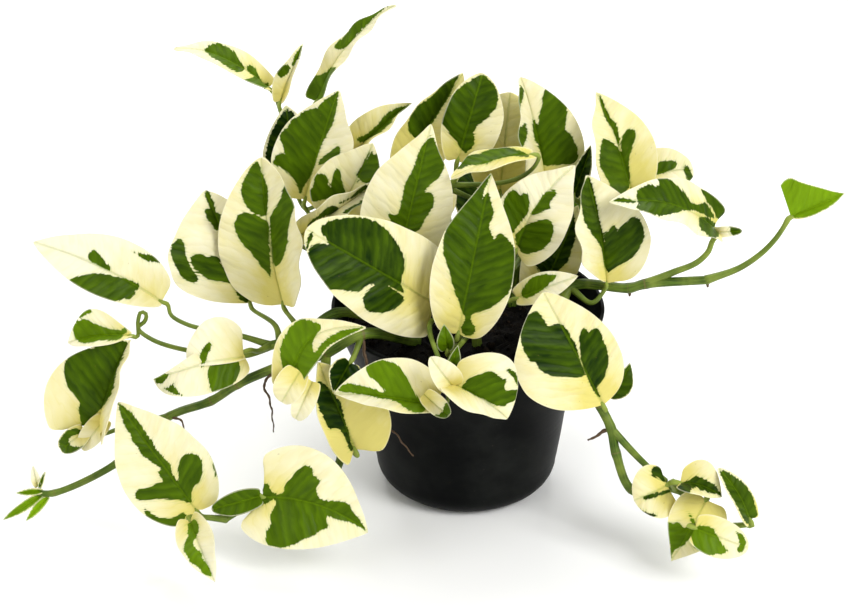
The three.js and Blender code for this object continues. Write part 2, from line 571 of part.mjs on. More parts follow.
const pothos = new THREE.Group();
pothos.name = 'potted_njoy_pothos';
addPiece(pothos, 'pot', potSolid(), POT_PLASTIC);
addPiece(pothos, 'soil', soilSolid(), SOIL_BROWN);
for (const stem of STEMS) addPiece(pothos, stem.name, stemSolid(stem), STEM_GREEN);
for (const leaf of LEAVES) addPiece(pothos, leaf.name, bladeSolid(leaf), LEAF_GREEN);

export default pothos;
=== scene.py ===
"""The looks of the potted pothos: its pot, soil, vines and variegated blades, with floor, lights and camera.

Lengths are millimetres until a mesh is made, which is in metres. Each fine piece lies where the solid that
it stands for lies, but for a few millimetres where another place or form comes nearer to the real plant.
"""
from __future__ import annotations

import json
import logging
import math
from dataclasses import dataclass, field
from enum import Enum
from typing import Any, Iterable, Sequence

import bpy
import numpy as np
from mathutils import Matrix

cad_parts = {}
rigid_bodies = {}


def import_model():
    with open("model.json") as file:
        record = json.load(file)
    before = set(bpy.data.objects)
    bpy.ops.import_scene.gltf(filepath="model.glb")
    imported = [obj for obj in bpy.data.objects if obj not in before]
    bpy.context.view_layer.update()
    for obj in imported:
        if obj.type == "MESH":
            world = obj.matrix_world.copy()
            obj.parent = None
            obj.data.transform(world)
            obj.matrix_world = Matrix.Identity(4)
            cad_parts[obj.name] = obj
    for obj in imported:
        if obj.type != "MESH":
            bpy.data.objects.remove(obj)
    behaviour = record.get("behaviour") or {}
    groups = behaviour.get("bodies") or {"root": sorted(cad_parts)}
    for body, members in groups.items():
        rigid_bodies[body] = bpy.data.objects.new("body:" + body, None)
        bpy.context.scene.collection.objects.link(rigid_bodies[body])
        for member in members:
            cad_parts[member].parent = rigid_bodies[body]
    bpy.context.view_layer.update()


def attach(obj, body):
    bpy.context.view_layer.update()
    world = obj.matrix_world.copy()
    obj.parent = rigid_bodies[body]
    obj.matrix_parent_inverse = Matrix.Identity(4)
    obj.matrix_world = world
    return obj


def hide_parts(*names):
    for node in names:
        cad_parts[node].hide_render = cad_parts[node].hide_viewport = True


LOG = logging.getLogger("pothos")
METRE = 0.001

Array = np.ndarray
Place = tuple[float, float, float]
Pair = tuple[float, float]
OneOrPair = float | Pair
Colour = tuple[float, float, float]
Faces = list[tuple[int, ...]]
Socket = Any


class Slot(Enum):
    """The material slots of the record."""

    POT = "pot"
    SOIL = "soil"
    STEM = "stem"
    LEAF = "leaf"


class StalkKind(Enum):
    """What a stalk is, as the number that its material reads."""

    STEM = 0.0
    PETIOLE = 0.5
    ROOT = 1.0


# The shared view


@dataclass(frozen=True)
class PictureView:
    """The eye that the plant is laid out for.

    Places on its picture are u to the right and v upwards, in millimetres from the foot of the pot's axis,
    which shows at axis_px and ground_py. The eye looks at aim_u and aim_v.
    """

    elevation: float = 28.0
    distance: float = 1100.0
    aim_u: float = -21.0
    aim_v: float = 83.25
    axis_px: float = 466.0
    ground_py: float = 473.0
    px_per_mm: float = 2.0
    width_px: float = 848.0
    sensor: float = 36.0

    @property
    def toward_eye(self) -> Array:
        """The direction from the plant to the eye."""
        angle = math.radians(self.elevation)
        return np.array([0.0, -math.cos(angle), math.sin(angle)])

    @property
    def up(self) -> Array:
        """The direction that is up in the picture."""
        angle = math.radians(self.elevation)
        return np.array([0.0, math.sin(angle), math.cos(angle)])

    @property
    def eye(self) -> Array:
        """The place of the eye."""
        return self.on_picture(self.aim_u, self.aim_v) + self.toward_eye * self.distance

    def on_picture(self, u: float, v: float) -> Array:
        """Gives the point of the picture plane at u and v."""
        return np.array([u, 0.0, 0.0]) + self.up * v

    def seen(self, place: Place) -> Array:
        """Gives the point that shows at a place of the picture.

        Args:
            place: u, v and the point's y.

        Returns:
            The point, in millimetres.
        """
        u, v, y = place
        eye = self.eye
        ray = self.on_picture(u, v) - eye
        return eye + ray * (y - eye[1]) / ray[1]

    def pixels(self, points: Array) -> Array:
        """Projects points to the picture.

        Args:
            points: Points, in millimetres, in the last axis.

        Returns:
            The x and y of each point, in pixels from the picture's upper left corner.
        """
        rays = points - self.eye
        hits = self.eye - rays * self.distance / (rays @ self.toward_eye)[..., None]
        return np.stack([self.axis_px + self.px_per_mm * hits[..., 0],
                         self.ground_py - self.px_per_mm * (hits @ self.up)], axis=-1)


VIEW = PictureView()


# Blades

TIP_START = 0.6
LOBE_ONSET = 0.08
LOBE_SIDE_POWER = 1.3
LOBE_LENGTH_POWER = 4


def of_side(value: OneOrPair, t: Array) -> Array:
    """Picks a half's value at each t, negative on the left, from one number or one for each half."""
    left, right = value if isinstance(value, tuple) else (value, value)
    return np.where(t < 0, left, right)


def turned(vector: Array, axis: Array, angle: float) -> Array:
    """Turns a vector that is square to a unit axis about that axis, by an angle in radians."""
    return vector * math.cos(angle) + np.cross(axis, vector) * math.sin(angle)


@dataclass(frozen=True)
class Blade:
    """One blade: its places, the widths of its halves, its form and the look of its markings."""

    name: str
    base: Place
    tip: Place
    halves: Pair
    fresh: float = 0.3
    warm: float = 0.25
    margin: float | None = None
    roll: float = 0.0
    fold: float = 20.0
    arch: float = 3.0
    sweep: float = 0.0
    twist: float = 0.0
    belly: OneOrPair = 0.38
    taper: OneOrPair = 0.85
    lobe: OneOrPair = 0.12
    point: float = 0.08
    steps: tuple[int, int] = (46, 30)

    def frame(self) -> tuple[Array, Array, Array, Array, float]:
        """Gives the blade's frame.

        Returns:
            Its base, its directions along, facing and right, and its length.
        """
        base, tip = VIEW.seen(self.base), VIEW.seen(self.tip)
        length = float(np.linalg.norm(tip - base))
        along = (tip - base) / length
        face = VIEW.toward_eye - along * (VIEW.toward_eye @ along)
        face = turned(face / np.linalg.norm(face), along, math.radians(self.roll))
        return base, along, face, np.cross(along, face), length

    def half_width(self, s: Array, t: Array) -> Array:
        """Gives the width of the half that t lies on.

        Args:
            s: Share of the length, from base to tip.
            t: Position across, from -1 at the left edge to 1 at the right edge.

        Returns:
            The half's width, in millimetres.
        """
        belly, taper = of_side(self.belly, t), of_side(self.taper, t)
        power = belly * taper / (1 - belly)
        widest = belly ** power * (1 - belly) ** taper
        near_tip = np.clip((s - TIP_START) / (1 - TIP_START), 0, 1)
        point = 1 - self.point * near_tip ** 2 * (3 - 2 * near_tip)
        return of_side(self.halves, t) * point * s ** power * (1 - s) ** taper / widest

    def surface(self, s: Array, t: Array) -> Array:
        """Gives the blade's middle surface.

        Args:
            s: Share of the length, from base to tip.
            t: Position across, from -1 to 1.

        Returns:
            A point for each pair of s and t.
        """
        base, along, face, right, length = self.frame()
        bow = 4 * s * (1 - s)
        turn = np.radians(self.twist * (s - 0.5))[..., None]
        faces = face * np.cos(turn) + np.cross(along, face) * np.sin(turn)
        rights = right * np.cos(turn) + np.cross(along, right) * np.sin(turn)
        half, side = self.half_width(s, t), np.abs(t)
        rise = math.radians(self.fold / 2)
        onset = np.clip(s / LOBE_ONSET, 0, 1)
        reach = side ** LOBE_SIDE_POWER * (1 - s) ** LOBE_LENGTH_POWER * onset * (2 - onset)
        lobe = of_side(self.lobe, t) * length * reach
        return (base + along * (length * s - lobe)[..., None] + face * (self.arch * bow)[..., None]
                + right * (self.sweep * bow)[..., None]
                + rights * (half * t * math.cos(rise))[..., None]
                + faces * (half * side * math.sin(rise))[..., None])


LARGE = (64, 42)
SMALL = (36, 24)
TINY = (20, 12)

LEAVES = (
    # Front of the plant, above the rim
    Blade("leaf_front_upright", (-4, 69.5, -42), (12.5, 150, -17), (18, 20), 0.34, 0.35, fold=18, point=0.3,
          lobe=0.06, steps=LARGE),
    Blade("leaf_front_wide", (-15, 84.5, -26), (-80, 122, -38), (23, 24), 0.2, 0.4, fold=16, arch=5,
          taper=0.55, point=0, steps=LARGE),
    Blade("leaf_middle_pale", (-34, 105.5, -8), (-17.5, 174.5, 6), (23, 20), 0.45, 0.3, fold=24, point=0.4,
          steps=LARGE),
    Blade("leaf_center_right", (25, 111, -8), (54.5, 154, -4), (16, 19), 0.45, 0.15, sweep=-4, point=0.3,
          steps=LARGE),
    Blade("leaf_center_low", (37, 90.5, 14), (56, 134, 17), (17, 12), 0.1, 0.5, roll=15),
    Blade("leaf_center_small", (25.5, 87.5, -20), (56, 98.5, -16), (8, 6), 0.65, 0.1, fold=30, steps=SMALL),
    Blade("leaf_right_open", (70, 95, -2), (60.5, 149, 0), (22, 23), 0.22, 0.3, roll=25, fold=60,
          belly=(0.55, 0.38), lobe=(0, 0.06), steps=LARGE),
    Blade("leaf_right_front", (68.5, 34, -57), (38.5, 90.5, -46), (30, 19), 0.17, 0.45, arch=5, taper=0.75,
          lobe=0, belly=(0.5, 0.42), steps=LARGE),
    # Left of the middle
    Blade("leaf_left_tall", (-91.5, 84, -8), (-102.5, 158, 8), (25, 26), 0.42, 0.4, taper=0.65, roll=-28,
          fold=50, twist=30, lobe=0.02, steps=LARGE),
    Blade("leaf_left_behind", (-108, 85, 0), (-130.5, 141.5, 12), (33, 22), 0.3, 0.2, roll=10, fold=40,
          belly=(0.52, 0.38), lobe=0, steps=LARGE),
    Blade("leaf_left_inner", (-63.5, 129, 18), (-46.5, 165, 24), (21, 14), 0.45, 0.35, roll=10, fold=40),
    Blade("leaf_left_edge_on", (-83, 118.5, 6), (-44.5, 145, 12), (12, 14), 0.25, 0.3, fold=120),
    # Top of the plant
    Blade("leaf_upper_left", (-80.5, 136.5, 30), (-63.5, 191.5, 38), (21, 19.5), 0.45, 0.2, point=0.2,
          roll=-12, steps=LARGE),
    Blade("leaf_upper_left_behind", (-84, 140, 44), (-90, 184, 52), (15, 16), 0.05, 0.2, margin=1.4),
    Blade("leaf_top_far_left", (-99, 192.5, 57), (-146, 212.5, 60), (11, 10), 0.55, 0.25, roll=50,
          sweep=4.5),
    Blade("leaf_top_narrow", (-92.5, 186.5, 57), (-81.5, 214.5, 60), (8, 3), 0.5, 0.3, fold=90,
          steps=SMALL),
    Blade("leaf_top_long", (-75, 185.5, 54), (-35, 234, 60), (9, 11.5), 0.55, 0.2, roll=-55, fold=26,
          sweep=-6, belly=0.3),
    Blade("leaf_top_yellow", (-58, 156.5, 42), (-27, 185, 48), (11, 14), 0.5, 0.6, roll=-30, fold=90),
    Blade("leaf_top_olive", (-32, 154, 34), (-1.5, 200, 42), (12, 16), 0.3, 0.75, roll=10, fold=40),
    Blade("leaf_top_round", (-4, 157, 24), (8.5, 200, 30), (12.5, 16), 0.3, 0.4, belly=0.48, taper=0.6,
          point=0, steps=LARGE),
    Blade("leaf_top_pale", (17, 140, 40), (22, 190.5, 50), (18, 14), 0.3, 0.65, belly=0.5, taper=0.5,
          steps=SMALL),
    Blade("leaf_top_right", (40, 141.5, 26), (27, 198, 34), (23, 21), 0.42, 0.3, taper=0.75, roll=32,
          fold=64, steps=LARGE),
    Blade("leaf_middle_edge_on", (32.5, 159, -2), (-7.5, 147, -10), (14, 11), 0.45, 0.7, roll=62,
          belly=(0.4, 0.55), steps=SMALL),
    # Right of the middle
    Blade("leaf_right_upright", (82.5, 141.5, 22), (65, 190.5, 30), (21, 17), 0.42, 0.5, roll=20, fold=50,
          belly=(0.3, 0.38)),
    Blade("leaf_right_behind", (87, 147.5, 34), (113.5, 151.5, 36), (12, 13), 0.35, 0.3, taper=0.45,
          point=0, roll=-20, fold=40, steps=SMALL),
    Blade("leaf_right_sliver", (54, 139, 19), (62.5, 164, 24), (5, 5), 0.05, 0.3, margin=0.3, fold=60,
          steps=SMALL),
    Blade("leaf_right_arching", (124, 122, 4), (71.5, 135.5, -12), (18, 15), 0.35, 0.15, roll=40, fold=30,
          arch=9, belly=0.32, lobe=(0.06, 0.2)),
    Blade("leaf_right_tip", (162.5, 128, 0), (189.5, 140, 4), (19, 4), 1.25, 0.3, margin=0.2, fold=50,
          belly=(0.05, 0.4), taper=(1.1, 0.85), lobe=(-0.2, 0), steps=SMALL),
    # Far left
    Blade("leaf_far_left_top", (-152, 85.5, -22), (-216.5, 115.5, -30), (13, 17), 0.4, 0.0, sweep=3,
          belly=(0.5, 0.36), lobe=0.06, steps=LARGE),
    Blade("leaf_far_left_folded", (-168, 68.5, -28), (-199, 65, -36), (14, 13), 0.75, 0.1, roll=35, fold=70,
          belly=0.6, steps=SMALL),
    Blade("leaf_far_left_low", (-183.5, 23, -48), (-167.5, 66.5, -36), (28, 26), 0.34, 0.45, roll=-36,
          fold=72, belly=(0.3, 0.2), taper=(0.8, 0.75), lobe=(0.36, 0.1), steps=LARGE),
    Blade("leaf_left_draped", (-111.5, 60.5, -38), (-156.5, 47, -48), (14, 8), 0.5, 0.15, fold=10, arch=8,
          belly=(0.42, 0.22), taper=(0.34, 1.4), lobe=0.06, steps=LARGE),
    # Low on the left
    Blade("leaf_left_rim", (-86, 40.5, -58), (-50, 72.5, -58), (12, 10), 0.8, 0.4, fold=30, sweep=-13,
          lobe=(0.2, 0.12), steps=LARGE),
    Blade("leaf_left_hanging", (-55.5, 11.5, -58), (-74, 55.5, -53), (12, 22), 0.1, 0.9, roll=10, fold=40,
          lobe=0.2),
    Blade("leaf_low_left", (-134.5, -19, -72), (-174, 35.5, -62), (21.5, 21), 0.42, 0.25, point=0.2,
          lobe=0.08, steps=LARGE),
    Blade("leaf_low_small", (-138, -24, -88), (-125.5, -54.5, -121), (9, 9), 0.75, 0.1, fold=40,
          steps=SMALL),
    Blade("leaf_low_middle", (-102, -12, -78), (-49, -29.5, -88), (25, 24), 0.5, 0.25, fold=16, sweep=-5,
          belly=0.3, lobe=0.2, steps=LARGE),
    Blade("leaf_left_tucked", (-58, 55, -52), (-66.5, 40.5, -60), (10, 8), 0.0, 0.4, margin=0.5, fold=70,
          steps=SMALL),
    # Over the front of the rim
    Blade("leaf_bud", (-9.5, 62, -50), (-11, 74.5, -48), (5, 4), 0.7, 0.5, margin=-0.6, fold=50,
          steps=SMALL),
    Blade("leaf_rim_front", (-7, 44.5, -73), (20.5, 27, -80), (22, 19), 0.4, 0.25, roll=-34, fold=68,
          belly=(0.5, 0.3), taper=(0.5, 0.85), lobe=(0.2, 0.25), steps=LARGE),
    Blade("leaf_rim_left", (-14.5, 34, -71), (-66, 40, -66), (8.5, 19), 0.85, 0.2, roll=20, fold=60,
          steps=LARGE),
    # Low on the right
    Blade("leaf_right_tucked", (70, 40, -40), (82, 55, -36), (8, 7), 0.3, 0.3, margin=0.2, roll=30, fold=60,
          steps=SMALL),
    Blade("leaf_low_right_pale", (100.5, -6, -77), (84, -13.5, -80), (13, 13), 0.15, 0.5, taper=0.55,
          point=0, steps=SMALL),
    Blade("leaf_low_right_folded", (107, -5, -80), (128, -12, -86), (12, 13), 0.2, 0.45, roll=-40, fold=60,
          steps=SMALL),
    Blade("leaf_low_right_front", (120, -13.5, -81.5), (102.5, -44, -94), (14, 13), 0.7, 0.5, belly=0.3,
          taper=1.1, steps=SMALL),
    Blade("leaf_low_right_wide", (114.5, -27.5, -100), (141, -37.5, -102), (9, 9.5), 0.75, 0.3, taper=0.55,
          point=0, steps=SMALL),
    Blade("leaf_low_right_dark", (142, -23.5, -88), (126, 2.5, -80), (7.5, 6), 0.35, 0.3, margin=0.9,
          taper=0.6, roll=30, fold=40, steps=SMALL),
)

BACK_LEFT_LEAVES = (
    Blade("upper", (-52, 134, 44), (-70, 150, 86), (17, 19), 0.3, 0.3),
    Blade("lower", (-46, 122.5, 58), (-72, 103, 96), (18, 16), 0.5, 0.2, roll=180),
    Blade("inner", (-18, 124, 54), (-22, 146, 98), (17, 17), 0.2, 0.4, fold=30),
    Blade("over_rim", (-24, 122.5, 82), (-42, 93, 104), (17, 18), 0.6, 0.3, roll=180, fold=30),
)
BACK_RIGHT_LEAVES = (
    Blade("upper", (38, 130, 48), (56, 144, 88), (17, 15), 0.5, 0.3),
    Blade("lower", (36, 124, 61), (58, 106, 96), (17, 16), 0.3, 0.4, roll=180),
    Blade("inner", (10, 122, 62), (12, 158, 98), (18, 19), 0.1, 0.4, margin=1.0, fold=30, taper=0.6),
    Blade("over_rim", (24, 124, 80), (30, 94, 102), (18, 17), 0.3, 0.3, roll=180, fold=30),
)
TIP_LEAVES = (
    Blade("outer", (-212, -11, -58), (-231.5, -23.5, -58), (2.4, 2.4), 1.3, 0.4, margin=0.1, fold=40,
          arch=1, steps=TINY),
    Blade("lower", (-209, -12, -58), (-220, -24, -60), (2.2, 2.2), 1.7, 0.4, margin=0.1, fold=40, arch=1,
          steps=TINY),
    Blade("upper", (-212, -9, -58), (-225, -10, -60), (2, 2), 1.1, 0.4, margin=0.1, fold=70, arch=1,
          steps=TINY),
    Blade("furled", (-213, -7, -58), (-210.5, 0.5, -58), (2, 2), 0.9, 0.3, margin=0.1, fold=110, arch=0,
          steps=TINY),
    Blade("sheath", (-214, -6.5, -57), (-216.5, 3.5, -57), (2.6, 2.6), 0.8, 0.0, margin=9, fold=60,
          arch=0.5, steps=TINY),
)

# Parts of a blade that curl or fold out of it, by leaf
LOBES: dict[str, tuple[Blade, ...]] = {
    "leaf_far_left_low": (
        Blade("lobe_curl", (-190, 21, -49), (-202.5, 11.5, -50), (5.5, 6), 0.4, 0.3, fold=40, taper=0.45,
              steps=SMALL),
        Blade("lobe_tail", (-180, 27, -48), (-192, 12, -50), (5, 6), 0.3, 0.3, fold=30, taper=0.45,
              steps=SMALL)),
    "leaf_low_middle": (
        Blade("lobe_green", (-103, -11.5, -79), (-127, -18, -80), (6, 5.5), 0.5, 0.3, margin=-0.6, fold=36,
              taper=0.5, steps=SMALL),),
    "leaf_left_draped": (
        Blade("lobe_arch", (-111.5, 58, -40), (-139.5, 54.5, -47.5), (2, 20), 0.5, 0.1, fold=10, arch=5.5,
              belly=0.45, taper=0.42, steps=SMALL),),
    "leaf_left_rim": (
        Blade("lobe_tail", (-77, 46, -59.5), (-85, 27, -62), (6, 5), 0.5, 0.2, fold=36, taper=0.35,
              steps=SMALL),
        Blade("lobe_round", (-83, 51, -59), (-92, 35.5, -61), (6.5, 8), 0.5, 0.4, fold=30, taper=0.4,
              steps=SMALL)),
    "leaf_rim_front": (
        Blade("lobe_left", (-7, 43.5, -74), (-18, 58, -75), (6, 7.5), 0.5, 0.2, fold=40, taper=0.5,
              steps=SMALL),),
    "leaf_rim_left": (
        Blade("lobe_rolled", (-21, 39.5, -71), (-8.5, 28.5, -73), (5.5, 5), 0.5, 0.3, fold=60, taper=0.45,
              steps=SMALL),),
    "leaf_right_arching": (
        Blade("lobe_hook", (123.5, 120, 3), (138, 121, 2), (3.2, 3.2), 0.3, 0.1, fold=70, taper=0.4,
              steps=SMALL),),
    "leaf_bud": (
        Blade("lobe_sheath", (-7.5, 52, -60), (-4, 64, -58), (3, 4), 0.55, 0.3, margin=-0.6, fold=60,
              steps=SMALL),),
}


def read_patches(text: str) -> dict[str, list[Array]]:
    """Reads the outlines of patches.

    Args:
        text: For each blade its name and a colon, then x,y for each corner, with ; between outlines.

    Returns:
        The outlines of each blade, by its name.
    """
    rows: dict[str, str] = {}
    name = ""
    for line in text.splitlines():
        if ":" in line:
            name, line = line.split(":")
        rows[name] = f"{rows.get(name, '')} {line}"
    return {name: [np.array([corner.split(",") for corner in outline.split()], dtype=float)
                   for outline in row.split(";")] for name, row in rows.items()}


